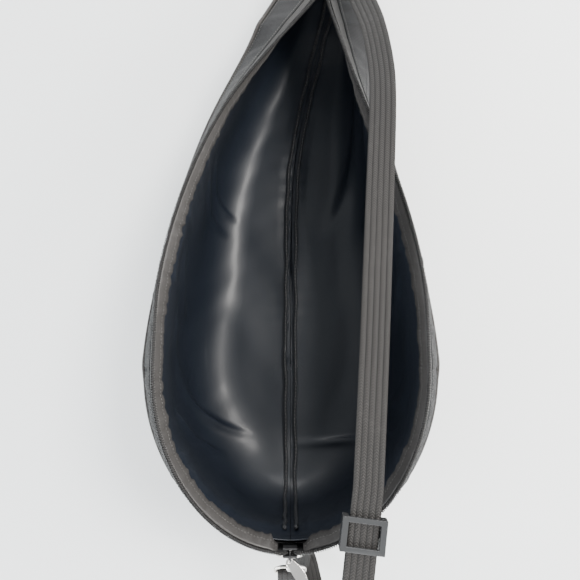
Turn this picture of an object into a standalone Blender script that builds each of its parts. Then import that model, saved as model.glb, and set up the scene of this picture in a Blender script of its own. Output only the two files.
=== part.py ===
"""Racket tournament bag: a leaf-shaped padded bag standing open on its spine, with an adjustable strap.

Frame: the wide end points to -Y, the narrow end to +Y, the open zip faces +Z, and z = 0 is the floor.
The origin is on the underside of the spine strip, halfway along the zip side. All sizes are in metres.
The hull is one surface. A station q runs round it: 0 is the middle of the wide end, 1 is where the
round end meets the straight sides, and each further unit is one quarter-round of length. At every
station an arc length runs over the section, from the spine up to the piping and on to the zip.
"""
import math

import bmesh
import bpy
from mathutils import Matrix, Vector

# Overall sizes
LENGTH = 0.740
MOUTH_LENGTH = 0.600
NOSE_LENGTH = 0.165
NOSE_OVERHANG = 0.010
LIP_HALF_WIDTH = 0.116
PIPING_HALF_WIDTH = 0.134
THROAT_DROP = 0.085
TAIL_HALF_WIDTH = 0.036
FRONT_HEIGHT = 0.200
CREST_HEIGHT = 0.241
TAIL_HEIGHT = 0.116
BULGE = 0.010
BULGE_LEVEL = 0.42
FLOOR_SHARE = 0.50
SWAY_SLOPE = 0.24
SWAY_START = 0.440
SWAY_EASE = 0.060

# Cloth layers, as depths below the outer face
FABRIC = 0.0012
LAYER_GAP = 0.0007
FOAM = 0.004
LINING_DEPTH = 0.0082
LINING = 0.0008
BINDING_WIDTH = 0.010
BINDING = 0.001

# Seams, piping and zip
PIPING_RADIUS = 0.0022
SEAM_CLEARANCE = 0.0016
SPINE_HALF_WIDTH = 0.009
END_SEAM_HALF_WIDTH = 0.040
CORNER_FLARE = 0.018
STRIP_WIDTH = 0.042
STRIP = 0.0016
TAPE_WIDTH = 0.0084
TAPE = 0.0008
COIL_RADIUS = 0.0020
COIL_DEPTH = 0.0010
CLOSED_ZIP_LENGTH = 0.020
SLIDER_LENGTH = 0.014
SLIDER_WIDTH = 0.0125
SLIDER_PLATE = 0.0014
SLIDER_CLEARANCE = 0.0004
SLIDER_POST = 0.0008
COIL_SPACING = COIL_RADIUS + SLIDER_POST / 2 + 0.0006
PULL_LENGTH = 0.027
PULL_WIDTH = 0.010
PULL_THICKNESS = 0.0014
PULL_TURN = math.radians(40)
PULL_EYE = 0.0015
BRIDGE_RADIUS = 0.0008
BRIDGE_RISE = 0.0044
RIB_RADIUS = 0.002
RIB_SPACING = 0.0065
RIB_CLEARANCE = 0.0038

# Strap and its hardware
STRAP_WIDTH = 0.025
STRAP = 0.0014
PLY_GAP = 0.0003
WIRE_RADIUS = 0.0015
HOOK_RADIUS = 0.00175
HOOK_EYE = 0.0055
RING_REACH = 0.0115
TAB_WIDTH = STRAP_WIDTH - 0.0025
RING_HALF_WIDTH = TAB_WIDTH / 2 + 0.0008 + WIRE_RADIUS
TAB_LAYER = 0.0014
TAB_TAIL = 0.018
BAR_CLEARANCE = 0.0006
BARREL_RADIUS = 0.0042
BARREL_START = 0.024
BARREL_LENGTH = 0.007
EYE_RADIUS = 0.0044
EYE_THICKNESS = 0.003
BAIL_REACH = 0.044
BAIL_HALF_WIDTH = STRAP_WIDTH / 2 + 0.0008 + WIRE_RADIUS
GLIDE_LENGTH = 0.027
GLIDE_WIDTH = STRAP_WIDTH + 0.011
GLIDE_BAR = 0.004
GLIDE_CENTRE_BAR = 0.005
GLIDE_BAR_HEIGHT = 0.0022
GLIDE_CENTRE_HEIGHT = 0.0018
GLIDE_TRAVEL = 0.008
CLEARANCE = 0.0003
NEAR_TAB_HEIGHT = 0.010
NEAR_HEADING = Vector((0, -0.75, -0.66)).normalized()
FAR_TAB_ALONG = MOUTH_LENGTH + 0.050
FAR_HEADING = Vector((0.30, -0.84, 0.46)).normalized()
FAR_BAIL_TURN = math.radians(24)

# Rows and columns of the face panels; the rows are closest together round the bilge
COLUMNS = 20
SHARES = (0.0, 0.27, 0.37, 0.46, 0.55, 0.68, 0.84, 1.0)
STEP = 1e-4

FRONT_Y = -LENGTH / 2
NOSE_Y = FRONT_Y + NOSE_LENGTH
END_ARC = 0.225
TAB_OFFSET = WIRE_RADIUS + BAR_CLEARANCE + TAB_LAYER + CLEARANCE
Q_END = 1 + (LENGTH - NOSE_LENGTH) / END_ARC
Q_MOUTH = 1 + (MOUTH_LENGTH - NOSE_LENGTH) / END_ARC
END_INSET = (2 * PIPING_RADIUS + SEAM_CLEARANCE) / END_ARC


# ---------------------------------------------------------------- the hull

def soft_maximum(value, floor, ease):
    """A rounded maximum of value and floor."""
    return (value + floor + math.sqrt((value - floor) ** 2 + ease ** 2)) / 2


def sway(along):
    """Sideways drift of the narrow end: nothing at the wide end, then a constant slope."""
    ahead = along - SWAY_START
    return SWAY_SLOPE * (math.sqrt(ahead ** 2 + SWAY_EASE ** 2) + ahead) / 2


def lip_half_width(along):
    """Half the mouth's width, from one zip coil to the middle."""
    start = NOSE_LENGTH + 0.055
    share = max(0.0, (along - start) / (MOUTH_LENGTH - start))
    return soft_maximum(LIP_HALF_WIDTH * (1 - share ** 1.6), COIL_SPACING, 0.008)


def piping_half_width(along):
    """Half the width between the two piped seams of the zip side."""
    share = max(0.0, (along - NOSE_LENGTH) / (MOUTH_LENGTH - NOSE_LENGTH))
    return soft_maximum(PIPING_HALF_WIDTH - THROAT_DROP * share ** 1.42, TAIL_HALF_WIDTH, 0.020)


def lip_height(along):
    """Height of the zip: a parabola up to the widest place, then a half cosine down to the tail."""
    crest = NOSE_LENGTH + 0.005
    if along < crest:
        return CREST_HEIGHT - (CREST_HEIGHT - FRONT_HEIGHT) * (1 - along / crest) ** 2
    turn = math.pi * min(1.0, (along - crest) / (LENGTH - crest))
    return TAIL_HEIGHT + (CREST_HEIGHT - TAIL_HEIGHT) * (1 + math.cos(turn)) / 2


class Section:
    """One upright section: a flat floor, a round bilge, a side wall, then the zip-side strip."""

    def __init__(self, q):
        if q <= 1:
            turn = max(q, 0.0) * math.pi / 2
            along = NOSE_LENGTH * (1 - math.cos(turn))
            self.centre = Vector((0, NOSE_Y))
            reach = NOSE_LENGTH + NOSE_OVERHANG
            self.piping = Vector((PIPING_HALF_WIDTH * math.sin(turn), -reach * math.cos(turn)))
            self.lip = Vector((LIP_HALF_WIDTH * math.sin(turn), -NOSE_LENGTH * math.cos(turn)))
        else:
            along = NOSE_LENGTH + (q - 1) * END_ARC
            self.centre = Vector((0, FRONT_Y + along))
            self.piping = Vector((piping_half_width(along), 0))
            self.lip = Vector((lip_half_width(along), 0))
        self.lip_z = lip_height(along)
        lean = (self.piping - self.lip).length
        self.drop = math.sqrt(max(STRIP_WIDTH ** 2 - lean ** 2, 0.008 ** 2))
        self.piping_z = self.lip_z - self.drop
        self.radius = self.piping.length
        self.points = self.wall_points()
        self.arcs = [0.0]
        for before, after in zip(self.points, self.points[1:]):
            self.arcs.append(self.arcs[-1] + math.dist(before, after))
        self.wall = self.arcs[-1]
        self.strip = math.hypot(lean, self.drop)
        low = self.points[-2]
        wall_turn = math.atan2(self.piping_z - low[1], self.radius - low[0])
        strip_turn = math.atan2(self.drop, -lean)
        self.corner = math.tan(abs(strip_turn - wall_turn) / 2)

    def wall_points(self):
        """The wall as (radial distance, height) points: flat, quarter superellipse, then a parabola."""
        flat = FLOOR_SHARE * self.radius
        widest = self.radius + BULGE
        level = BULGE_LEVEL * self.piping_z
        points = [(0.0, 0.0), (flat, 0.0)]
        for step in range(1, 25):
            angle = step / 24 * math.pi / 2
            out = math.sin(angle) ** 0.91
            up = 1 - max(math.cos(angle), 0.0) ** 0.91
            points.append((flat + (widest - flat) * out, level * up))
        for step in range(1, 13):
            share = step / 12
            points.append((widest - BULGE * share ** 2, level + (self.piping_z - level) * share))
        return points

    def at(self, arc):
        """The plan position and height at an arc length from the spine."""
        if arc >= self.wall:
            share = (arc - self.wall) / self.strip
            plan = self.piping.lerp(self.lip, share)
            return self.centre + plan, self.piping_z + share * self.drop
        index = 0
        while index < len(self.arcs) - 2 and self.arcs[index + 1] < arc:
            index += 1
        share = (arc - self.arcs[index]) / (self.arcs[index + 1] - self.arcs[index])
        low = self.points[index]
        high = self.points[index + 1]
        radial = low[0] + (high[0] - low[0]) * share
        return self.centre + self.piping * (radial / self.radius), low[1] + (high[1] - low[1]) * share


SECTIONS = {}


def section(q):
    key = round(q, 7)
    if key not in SECTIONS:
        SECTIONS[key] = Section(key)
    return SECTIONS[key]


def hull_face(q, arc):
    """A point of the hull's outer face, before the sway."""
    plan, height = section(q).at(arc)
    return Vector((plan.x, plan.y, height))


def hull_normal(q, arc):
    """The outward normal, from differences along the section and along the hull."""
    near = max(q - 1e-3, 0.0)
    along = hull_face(near + 2e-3, arc) - hull_face(near, arc)
    low = max(arc - 10 * STEP, 0.0)
    upward = hull_face(q, low + 20 * STEP) - hull_face(q, low)
    return along.cross(upward).normalized()


def hull(side, q, arc, depth=0.0):
    """A point at a depth below the outer face, on the left (-1) or the right (+1), with the sway."""
    point = hull_face(q, arc) - hull_normal(q, arc) * depth
    return Vector((side * point.x + sway(point.y - FRONT_Y), point.y, point.z))


def station_at(lateral, arc_of):
    """The station in the round end where the hull is a given distance from the middle plane."""
    low, high = 0.0, 1.0
    if hull_face(1.0, arc_of(1.0)).x < lateral:
        return 1.0
    for _ in range(40):
        middle = (low + high) / 2
        if hull_face(middle, arc_of(middle)).x < lateral:
            low = middle
        else:
            high = middle
    return (low + high) / 2


def seam_half_width(share):
    """Distance of the end seam from the middle plane, from the floor (0) to the zip side (1)."""
    flare = max(0.0, (share - 0.8) / 0.2) ** 2
    return SPINE_HALF_WIDTH + (END_SEAM_HALF_WIDTH - SPINE_HALF_WIDTH) * share ** 1.5 + CORNER_FLARE * flare


def wall_arc(share, inset=0.0, depth=0.0):
    """Arc length at a share of the way from the spine seam to the piped seam, as a function of station.

    A deep layer stops short of the piped seam where the hull turns a corner there."""
    start = SPINE_HALF_WIDTH + inset
    return lambda q: start + share * (section(q).wall - max(inset, depth * section(q).corner + 0.0008) - start)


# ---------------------------------------------------------------- Blender helpers

def clear_scene():
    for item in list(bpy.data.objects):
        bpy.data.objects.remove(item)


def new_collection(name):
    group = bpy.data.collections.new(name)
    bpy.context.scene.collection.children.link(group)
    return group


def material(name, colour, roughness, metallic=0.0):
    item = bpy.data.materials.new(name)
    item.use_nodes = True
    shader = item.node_tree.nodes["Principled BSDF"]
    shader.inputs["Base Color"].default_value = (*colour, 1)
    shader.inputs["Roughness"].default_value = roughness
    shader.inputs["Metallic"].default_value = metallic
    return item


def mesh_object(name, points, faces, finish, place=None):
    mesh = bpy.data.meshes.new(name)
    mesh.from_pydata([tuple(point) for point in points], [], faces)
    mesh.materials.append(finish)
    item = bpy.data.objects.new(name, mesh)
    BAG.objects.link(item)
    if place is not None:
        item.matrix_world = place
    return item


def point_outwards(item):
    """Turn every face of a closed mesh outwards."""
    grid = bmesh.new()
    grid.from_mesh(item.data)
    bmesh.ops.recalc_face_normals(grid, faces=grid.faces)
    grid.to_mesh(item.data)
    grid.free()


def thick_sheet(name, outer, inner, finish):
    """A closed sheet from two matching grids of points, stitched round their border.

    Each cell is split along its shorter diagonal, the same one on both grids, so that the two
    faces can't cross where a cell is twisted."""
    rows = len(outer)
    columns = len(outer[0])
    points = [point for row in outer for point in row] + [point for row in inner for point in row]
    offset = rows * columns
    faces = []
    for row in range(rows - 1):
        for column in range(columns - 1):
            a = row * columns + column
            b = a + 1
            c = a + columns + 1
            d = a + columns
            corners = (a, b, c, d)
            if math.dist(points[b], points[d]) < math.dist(points[a], points[c]):
                corners = (b, c, d, a)
            first, second, third, fourth = corners
            faces += [(first, second, third), (first, third, fourth)]
            first, second, third, fourth = (offset + corner for corner in corners)
            faces += [(third, second, first), (fourth, third, first)]
    rim = [column for column in range(columns)]
    rim += [row * columns + columns - 1 for row in range(1, rows)]
    rim += [(rows - 1) * columns + column for column in range(columns - 2, -1, -1)]
    rim += [row * columns for row in range(rows - 2, 0, -1)]
    for here, there in zip(rim, rim[1:] + rim[:1]):
        faces.append((there, here, offset + here, offset + there))
    item = mesh_object(name, points, faces, finish)
    point_outwards(item)
    return item


def tube(name, points, radius, finish, closed=False, place=None, resolution=1):
    """A wire: a POLY curve with a round bevel and filled caps."""
    curve = bpy.data.curves.new(name, "CURVE")
    curve.dimensions = "3D"
    curve.bevel_depth = radius
    curve.bevel_resolution = resolution
    curve.use_fill_caps = True
    spline = curve.splines.new("POLY")
    spline.points.add(len(points) - 1)
    for slot, point in zip(spline.points, points):
        slot.co = (*point, 1)
    spline.use_cyclic_u = closed
    curve.materials.append(finish)
    item = bpy.data.objects.new(name, curve)
    BAG.objects.link(item)
    if place is not None:
        item.matrix_world = place
    return item


def as_mesh(item):
    """Turn an object into a plain mesh of what the viewport shows, with its caps welded."""
    bpy.context.view_layer.update()
    shown = item.evaluated_get(bpy.context.evaluated_depsgraph_get())
    mesh = bpy.data.meshes.new_from_object(shown)
    grid = bmesh.new()
    grid.from_mesh(mesh)
    bmesh.ops.remove_doubles(grid, verts=grid.verts, dist=1e-6)
    grid.to_mesh(mesh)
    grid.free()
    name = item.name
    place = item.matrix_world.copy()
    bpy.data.objects.remove(item)
    result = bpy.data.objects.new(name, mesh)
    BAG.objects.link(result)
    result.matrix_world = place
    return result


def combine(item, others, operation="UNION"):
    """Join or cut with exact Booleans and keep the result as a plain mesh."""
    for other in others:
        for group in list(other.users_collection):
            group.objects.unlink(other)
        CUTTERS.objects.link(other)
        other.hide_render = True
        other.display_type = "WIRE"
        change = item.modifiers.new(operation.lower(), "BOOLEAN")
        change.operation = operation
        change.object = other
    result = as_mesh(item)
    for other in others:
        bpy.data.objects.remove(other)
    return result


def block(name, low, high, finish, place=None):
    """A box between two corners, from Blender's cube."""
    mesh = bpy.data.meshes.new(name)
    grid = bmesh.new()
    bmesh.ops.create_cube(grid, size=1)
    for corner in grid.verts:
        for axis in range(3):
            corner.co[axis] = low[axis] if corner.co[axis] < 0 else high[axis]
    grid.to_mesh(mesh)
    grid.free()
    mesh.materials.append(finish)
    item = bpy.data.objects.new(name, mesh)
    BAG.objects.link(item)
    if place is not None:
        item.matrix_world = place
    return item


def turned(name, profile, finish, place=None, steps=12):
    """A turned piece: a profile of (radius, height) revolved about Z with the Screw modifier."""
    points = [(radius, 0, height) for radius, height in profile]
    edges = [(index, index + 1) for index in range(len(points) - 1)]
    if profile[0][0] > 0:
        edges.append((len(points) - 1, 0))
    mesh = bpy.data.meshes.new(name)
    mesh.from_pydata(points, edges, [])
    mesh.materials.append(finish)
    item = bpy.data.objects.new(name, mesh)
    BAG.objects.link(item)
    if place is not None:
        item.matrix_world = place
    screw = item.modifiers.new("turn", "SCREW")
    screw.steps = steps
    screw.render_steps = steps
    screw.use_merge_vertices = True
    screw.merge_threshold = 1e-5
    screw.use_normal_calculate = True
    return item


def plate(name, outline, holes, thickness, finish, place):
    """A flat outline with holes, as a filled 2D curve extruded to both sides."""
    curve = bpy.data.curves.new(name, "CURVE")
    curve.dimensions = "2D"
    curve.fill_mode = "BOTH"
    curve.extrude = thickness / 2
    for loop in [outline] + holes:
        spline = curve.splines.new("POLY")
        spline.points.add(len(loop) - 1)
        for slot, point in zip(spline.points, loop):
            slot.co = (point[0], point[1], 0, 1)
        spline.use_cyclic_u = True
    curve.materials.append(finish)
    item = bpy.data.objects.new(name, curve)
    BAG.objects.link(item)
    item.matrix_world = place
    return as_mesh(item)


def arc_points(centre, radius, start, end, steps):
    """Points on an arc, angles in degrees, both ends included."""
    angles = [math.radians(start + (end - start) * step / steps) for step in range(steps + 1)]
    return [(centre[0] + radius * math.cos(angle), centre[1] + radius * math.sin(angle)) for angle in angles]


def frame_of(origin, x_axis, y_axis, z_axis):
    """A placement from an origin and three unit axes."""
    return Matrix.Translation(origin) @ Matrix((x_axis, y_axis, z_axis)).transposed().to_4x4()


def axes(origin, x_axis, z_axis):
    """A placement with its Z along one direction and its X as near as it can be to another."""
    z = z_axis.normalized()
    y = z.cross(x_axis).normalized()
    return frame_of(origin, y.cross(z), y, z)


# ---------------------------------------------------------------- the shell

def wall_patch(name, side, depths, inset, seam_offset, finish):
    """One face panel of a layer, from the spine seam to the piped seam."""
    grids = []
    for depth in depths:
        rows = []
        for share in SHARES:
            arc_of = wall_arc(share, inset)
            first = station_at(seam_half_width(share) + seam_offset, arc_of)
            last = Q_END - END_INSET
            stations = [first + (last - first) * column / (COLUMNS - 1) for column in range(COLUMNS)]
            rows.append([hull(side, q, arc_of(q), depth) for q in stations])
        grids.append(rows)
    return thick_sheet(name, grids[0], grids[1], finish)


def face_panels(side, name):
    """The outer fabric and the foam behind it, between the piped seams."""
    inset = PIPING_RADIUS + SEAM_CLEARANCE
    wall_patch(name + "_outer_panel", side, (0.0, FABRIC), inset, inset, CANVAS)
    foam_top = FABRIC + LAYER_GAP
    wall_patch(name + "_foam_pad", side, (foam_top, foam_top + FOAM), inset, inset, FOAM_FINISH)


def lining(side, name):
    """The lining of one side: the wall from the middle of the spine, and the facing of the mouth."""
    inset = PIPING_RADIUS + SEAM_CLEARANCE
    deep = LINING_DEPTH + LINING
    wall = []
    facing = []
    for depth in (LINING_DEPTH, deep):
        rows = [row_points(side, station_at(CLEARANCE * 0.99, lambda q: CLEARANCE), Q_END - 0.02,
                           lambda q: CLEARANCE, depth)]
        for share in SHARES:
            arc_of = wall_arc(share, inset, deep)
            rows.append(row_points(side, station_at(CLEARANCE, arc_of), Q_END - 0.02, arc_of, depth))
        wall.append(rows)
        rows = []
        for above in (0.0, 0.018, STRIP_WIDTH - TAPE_WIDTH - 0.004):
            arc_of = facing_arc(above, deep)
            rows.append(row_points(side, station_at(CLEARANCE, arc_of), Q_MOUTH - 0.05, arc_of, depth))
        facing.append(rows)
    thick_sheet(name + "_lining", wall[0], wall[1], LINING_FINISH)
    thick_sheet(name + "_mouth_facing", facing[0], facing[1], LINING_FINISH)


def row_points(side, first, last, arc_of, depth):
    stations = [first + (last - first) * column / (COLUMNS - 1) for column in range(COLUMNS)]
    return [hull(side, q, arc_of(q), depth) for q in stations]


def strip_arc(above):
    """Arc length at a distance above the piped seam, shortened where the strip is narrower."""
    return lambda q: section(q).wall + above * section(q).strip / STRIP_WIDTH


def facing_arc(above, depth):
    """Arc length on the strip, kept clear of the lining where the hull turns a corner at the seam."""
    return lambda q: strip_arc(max(above, depth * section(q).corner + 0.0012, 0.004))(q)


def band(name, side, low, high, lateral, depths, last, finish):
    """A narrow strip along the zip side between two distances above the piped seam."""
    grids = []
    for depth in depths:
        rows = []
        for above in (low, high):
            arc_of = strip_arc(above)
            first = station_at(lateral, arc_of)
            rows.append(row_points(side, first, last, arc_of, depth))
        grids.append(rows)
    return thick_sheet(name, grids[0], grids[1], finish)


def gusset_strip(side, name):
    """The zip-side strip; beside the closed zip its edge steps back to leave room for the coil."""
    top = STRIP_WIDTH - TAPE_WIDTH - 0.0008
    step_row = STRIP_WIDTH - CLOSED_ZIP_LENGTH - 0.006
    grids = []
    for depth in (0.0, STRIP):
        rows = []
        for above, lateral in ((PIPING_RADIUS + SEAM_CLEARANCE, CLEARANCE), (step_row, CLEARANCE),
                               (step_row + 0.001, 2 * COIL_SPACING), (top, 2 * COIL_SPACING)):
            arc_of = strip_arc(above)
            rows.append(row_points(side, station_at(lateral, arc_of), Q_MOUTH, arc_of, depth))
        grids.append(rows)
    thick_sheet(name + "_gusset_strip", grids[0], grids[1], CANVAS)
    band(name + "_zip_tape", side, STRIP_WIDTH - TAPE_WIDTH, STRIP_WIDTH - 0.0013, 0.011,
         (0.0004, 0.0004 + TAPE), Q_MOUTH, TAPE_FINISH)
    top_edge = STRIP_WIDTH - TAPE_WIDTH + 0.002
    start = LINING_DEPTH + LINING + 0.001
    band(name + "_mouth_binding", side, top_edge - BINDING_WIDTH, top_edge, 0.012,
         (start, start + BINDING), Q_MOUTH - 0.05, BINDING_FINISH)


def piping(side, name):
    """The piped seam: a closed loop round the face panel, flush below and standing proud at the top."""
    flush = PIPING_RADIUS + CLEARANCE
    proud = 0.0008
    top = strip_arc(0.0)
    last = Q_END - (PIPING_RADIUS + CLEARANCE) / END_ARC
    first = station_at(seam_half_width(1.0), top)
    points = []
    for step in range(COLUMNS):
        q = first + (last - first) * step / (COLUMNS - 1)
        points.append(hull(side, q, top(q), proud))
    for step in range(1, 9):
        share = 1 - step / 9
        points.append(hull(side, last, wall_arc(share)(last), flush + (proud - flush) * share))
    for step in range(10):
        q = last - (last - 1.01) * step / 9
        points.append(hull(side, q, SPINE_HALF_WIDTH, flush))
    for step in range(1, 15):
        share = step / 15
        arc_of = wall_arc(share)
        q = station_at(seam_half_width(share), arc_of)
        points.append(hull(side, q, arc_of(q), flush + (proud - flush) * share))
    tube(name + "_piping", points, PIPING_RADIUS, PIPING_FINISH, closed=True)


def zip_coil(side, name):
    """The zip's coil: side by side in the closed stretch, then out along the lip to the end tab."""
    points = []
    for step in range(4):
        above = STRIP_WIDTH - CLOSED_ZIP_LENGTH + (CLOSED_ZIP_LENGTH - 0.005) * step / 3
        arc_of = strip_arc(above)
        points.append(hull(side, station_at(COIL_SPACING, arc_of), arc_of(0.0), COIL_DEPTH))
    arc_of = strip_arc(STRIP_WIDTH + COIL_RADIUS - 0.0005)
    first = station_at(0.009, arc_of)
    for step in range(24):
        q = first + (Q_MOUTH - first) * step / 23
        points.append(hull(side, q, arc_of(q), COIL_DEPTH))
    tube(name + "_zip_coil", points, COIL_RADIUS, COIL_FINISH)


def spine_rib(side, name):
    """The bound edge of the lining's middle seam, on the inside, up to the slider."""
    depth = LINING_DEPTH + LINING + RIB_RADIUS + RIB_CLEARANCE
    points = []
    for step in range(10):
        along = LENGTH - 0.02 - (LENGTH - 0.02 - NOSE_LENGTH) * step / 9
        points.append(Vector((side * RIB_SPACING + sway(along), FRONT_Y + along, depth)))
    for step in range(1, 14):
        share = 0.02 + 0.98 * step / 13
        arc_of = wall_arc(share)
        q = station_at(RIB_SPACING, arc_of)
        points.append(hull(side, q, arc_of(q), depth))
    tube(name + "_spine_rib", points, RIB_RADIUS, BINDING_FINISH)


def spine_strip():
    """The flat strip of the spine, between the two bottom seams."""
    half = SPINE_HALF_WIDTH - PIPING_RADIUS - SEAM_CLEARANCE
    grids = []
    for height in (0.0, STRIP):
        rows = []
        for side in (-1, 1):
            first = NOSE_LENGTH - 0.012
            stations = [first + (LENGTH - 0.003 - first) * step / 11 for step in range(12)]
            rows.append([Vector((side * half + sway(along), FRONT_Y + along, height)) for along in stations])
        grids.append(rows)
    thick_sheet("spine_strip", grids[0], grids[1], CANVAS)


def wide_end_gusset():
    """The centre piece of the wide end, from the spine strip up to the zip-side strips."""
    columns = 7
    shares = [0.04 + 0.96 * row / 10 for row in range(11)]
    grids = []
    for depth in (0.0, STRIP):
        rows = []
        for share in shares:
            arc_of = wall_arc(share)
            half = seam_half_width(share) - PIPING_RADIUS - SEAM_CLEARANCE - 0.0008
            row = []
            for column in range(columns):
                lateral = -half + 2 * half * column / (columns - 1)
                q = station_at(abs(lateral), arc_of)
                row.append(hull(1 if lateral >= 0 else -1, q, arc_of(q), depth))
            rows.append(row)
        grids.append(rows)
    thick_sheet("wide_end_gusset", grids[0], grids[1], CANVAS)


def narrow_end():
    """The closed stretch beyond the zip: a crowned top strip and a flat end panel."""
    inset = PIPING_RADIUS + SEAM_CLEARANCE
    grids = []
    for drop in (0.0, STRIP):
        rows = []
        for step in range(6):
            along = MOUTH_LENGTH + 0.001 + (LENGTH - MOUTH_LENGTH - 0.004) * step / 5
            here = section(1 + (along - NOSE_LENGTH) / END_ARC)
            half = here.radius - inset - 0.0012
            row = []
            for column in range(7):
                share = -1 + 2 * column / 6
                height = here.lip_z - here.drop * (share * half / here.radius) ** 2 - drop
                row.append(Vector((share * half + sway(along), FRONT_Y + along, height)))
            rows.append(row)
        grids.append(rows)
    thick_sheet("narrow_end_gusset", grids[0], grids[1], CANVAS)
    here = section(Q_END)
    shrink = 2 * PIPING_RADIUS + 0.0011
    arcs = [shrink + (here.wall - 2 * shrink) * step / 12 for step in range(13)]
    half_loop = [hull_face(Q_END, arc) - hull_normal(Q_END, arc) * shrink for arc in arcs]
    half_loop = [(point.x, point.z) for point in half_loop]
    for step in range(1, 4):
        share = 1 - step / 4
        half_loop.append((share * half_loop[12][0], here.lip_z - shrink - here.drop * share ** 2))
    drift = sway(LENGTH)
    outline = [(x + drift, z) for x, z in half_loop] + [(drift, here.lip_z - shrink)]
    outline += [(drift - x, z) for x, z in reversed(half_loop)]
    place = axes(Vector((0, LENGTH / 2 - 0.0012, 0)), Vector((1, 0, 0)), Vector((0, -1, 0)))
    plate("narrow_end_panel", outline, [], 0.002, CANVAS, place)


def zip_end_tab():
    """A small flap sewn over the upper end of the zip."""
    along = MOUTH_LENGTH
    here = section(Q_MOUTH)
    origin = Vector((sway(along), FRONT_Y + along, here.lip_z + COIL_RADIUS + 0.0022))
    slope = (lip_height(along + 0.01) - lip_height(along - 0.01)) / 0.02
    place = axes(origin, Vector((1, 0, 0)), Vector((0, -slope, 1)))
    block("zip_end_tab", (-0.012, -0.007, -0.0008), (0.012, 0.009, 0.0008), CANVAS, place)


# ---------------------------------------------------------------- slider

def end_frame(above, depth=0.0):
    """A placement on the wide end's middle line: X across, Y up along the zip, Z outwards."""
    arc = section(0.0).wall + above
    up = (hull_face(0.0, arc + 0.001) - hull_face(0.0, arc)).normalized()
    out = hull_normal(0.0, arc)
    origin = hull_face(0.0, arc) - out * depth
    return frame_of(origin, Vector((1, 0, 0)), up, out)


def slider():
    """The zip's slider: two plates joined by a post that parts the coils, with a bridge for the pull."""
    place = end_frame(STRIP_WIDTH - 0.005, COIL_DEPTH)
    inner = COIL_RADIUS + SLIDER_CLEARANCE
    outer = inner + SLIDER_PLATE
    half = SLIDER_WIDTH / 2
    low, high = 0.004 - SLIDER_LENGTH, 0.004
    body = block("zip_slider", (-half, low, inner), (half, high, outer), METAL_DARK)
    back = block("slider_back", (-half, low, -outer), (half, high, -inner), METAL_DARK)
    post = block("slider_post", (-SLIDER_POST / 2, 0.0005, -inner - 0.0005),
                 (SLIDER_POST / 2, high - 0.0005, inner + 0.0005), METAL_DARK)
    middle = low + 0.0065
    bridge_path = [(0, middle - 0.0036, outer - 0.0006)]
    bridge_path += [(0, middle + 0.0036 * y, outer + BRIDGE_RISE * z) for y, z in arc_points((0, 0), 1, 180, 0, 10)]
    bridge_path += [(0, middle + 0.0036, outer - 0.0006)]
    bridge = as_mesh(tube("slider_bridge", bridge_path, BRIDGE_RADIUS, METAL_DARK))
    body = combine(body, [back, post, bridge])
    body.matrix_world = place
    return place @ Matrix.Translation((0, middle, outer + BRIDGE_RISE))


def pull(eye_place):
    """The leaf-shaped pull: it stands out from the slider with the bridge through its eye, swung to the right."""
    half = PULL_WIDTH / 2
    head = PULL_EYE + 0.0015
    reach = PULL_LENGTH - head
    edge = []
    for step in range(10):
        share = step / 9
        width = half * (0.48 + 0.52 * math.sin(math.pi * min(share * 1.25, 1) * 0.62))
        edge.append((width * (1 - max(0, share - 0.7) * 1.6), -head * 0.75 + share * (reach * 0.94 + head * 0.75)))
    loop = edge + [(0.0, reach)] + [(-x, y) for x, y in reversed(edge)] + [(0.0, -head)]
    hole = arc_points((0, 0), PULL_EYE, 0, 337.5, 15)
    flat = Matrix(((1, 0, 0), (0, 0, -1), (0, 1, 0))).to_4x4()
    place = eye_place @ Matrix.Rotation(PULL_TURN, 4, "Y") @ flat
    plate("zip_pull", loop, [hole], PULL_THICKNESS, METAL_BRIGHT, place)


def bottom_stop():
    """The folded stop below the closed coils."""
    place = end_frame(STRIP_WIDTH - CLOSED_ZIP_LENGTH - 0.0026, COIL_DEPTH)
    block("zip_bottom_stop", (-0.0032, -0.0012, -0.0018), (0.0032, 0.0012, 0.0018), METAL_BRIGHT, place)


# ---------------------------------------------------------------- rings, clips and strap

def ring_tab(name, place):
    """A folded webbing tab: a loop round the ring's bar and two layers sewn to the bag.

    Local axes: X along the bar, Y towards the sewn tail, Z away from the bag; the bar is the origin."""
    inner = WIRE_RADIUS + BAR_CLEARANCE
    outer = inner + TAB_LAYER
    tail_top = -outer + 2 * TAB_LAYER
    meet = math.degrees(math.asin(tail_top / outer))
    outline = [(TAB_TAIL, -outer)]
    outline += [(-x, y) for x, y in arc_points((0, 0), outer, 270, 360 + 180 + meet * -1, 16)][::1]
    outline = [(TAB_TAIL, -outer), (0, -outer)]
    outline += [(-x, y) for x, y in arc_points((0, 0), outer, -80, 180 - meet, 14)]
    outline += [(TAB_TAIL, tail_top)]
    hole = arc_points((0, 0), inner, 0, 337.5, 15)
    turn = Matrix(((0, 0, 1), (1, 0, 0), (0, 1, 0))).to_4x4()
    plate(name, outline, [hole], TAB_WIDTH, WEBBING_FINISH, place @ turn)


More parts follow.
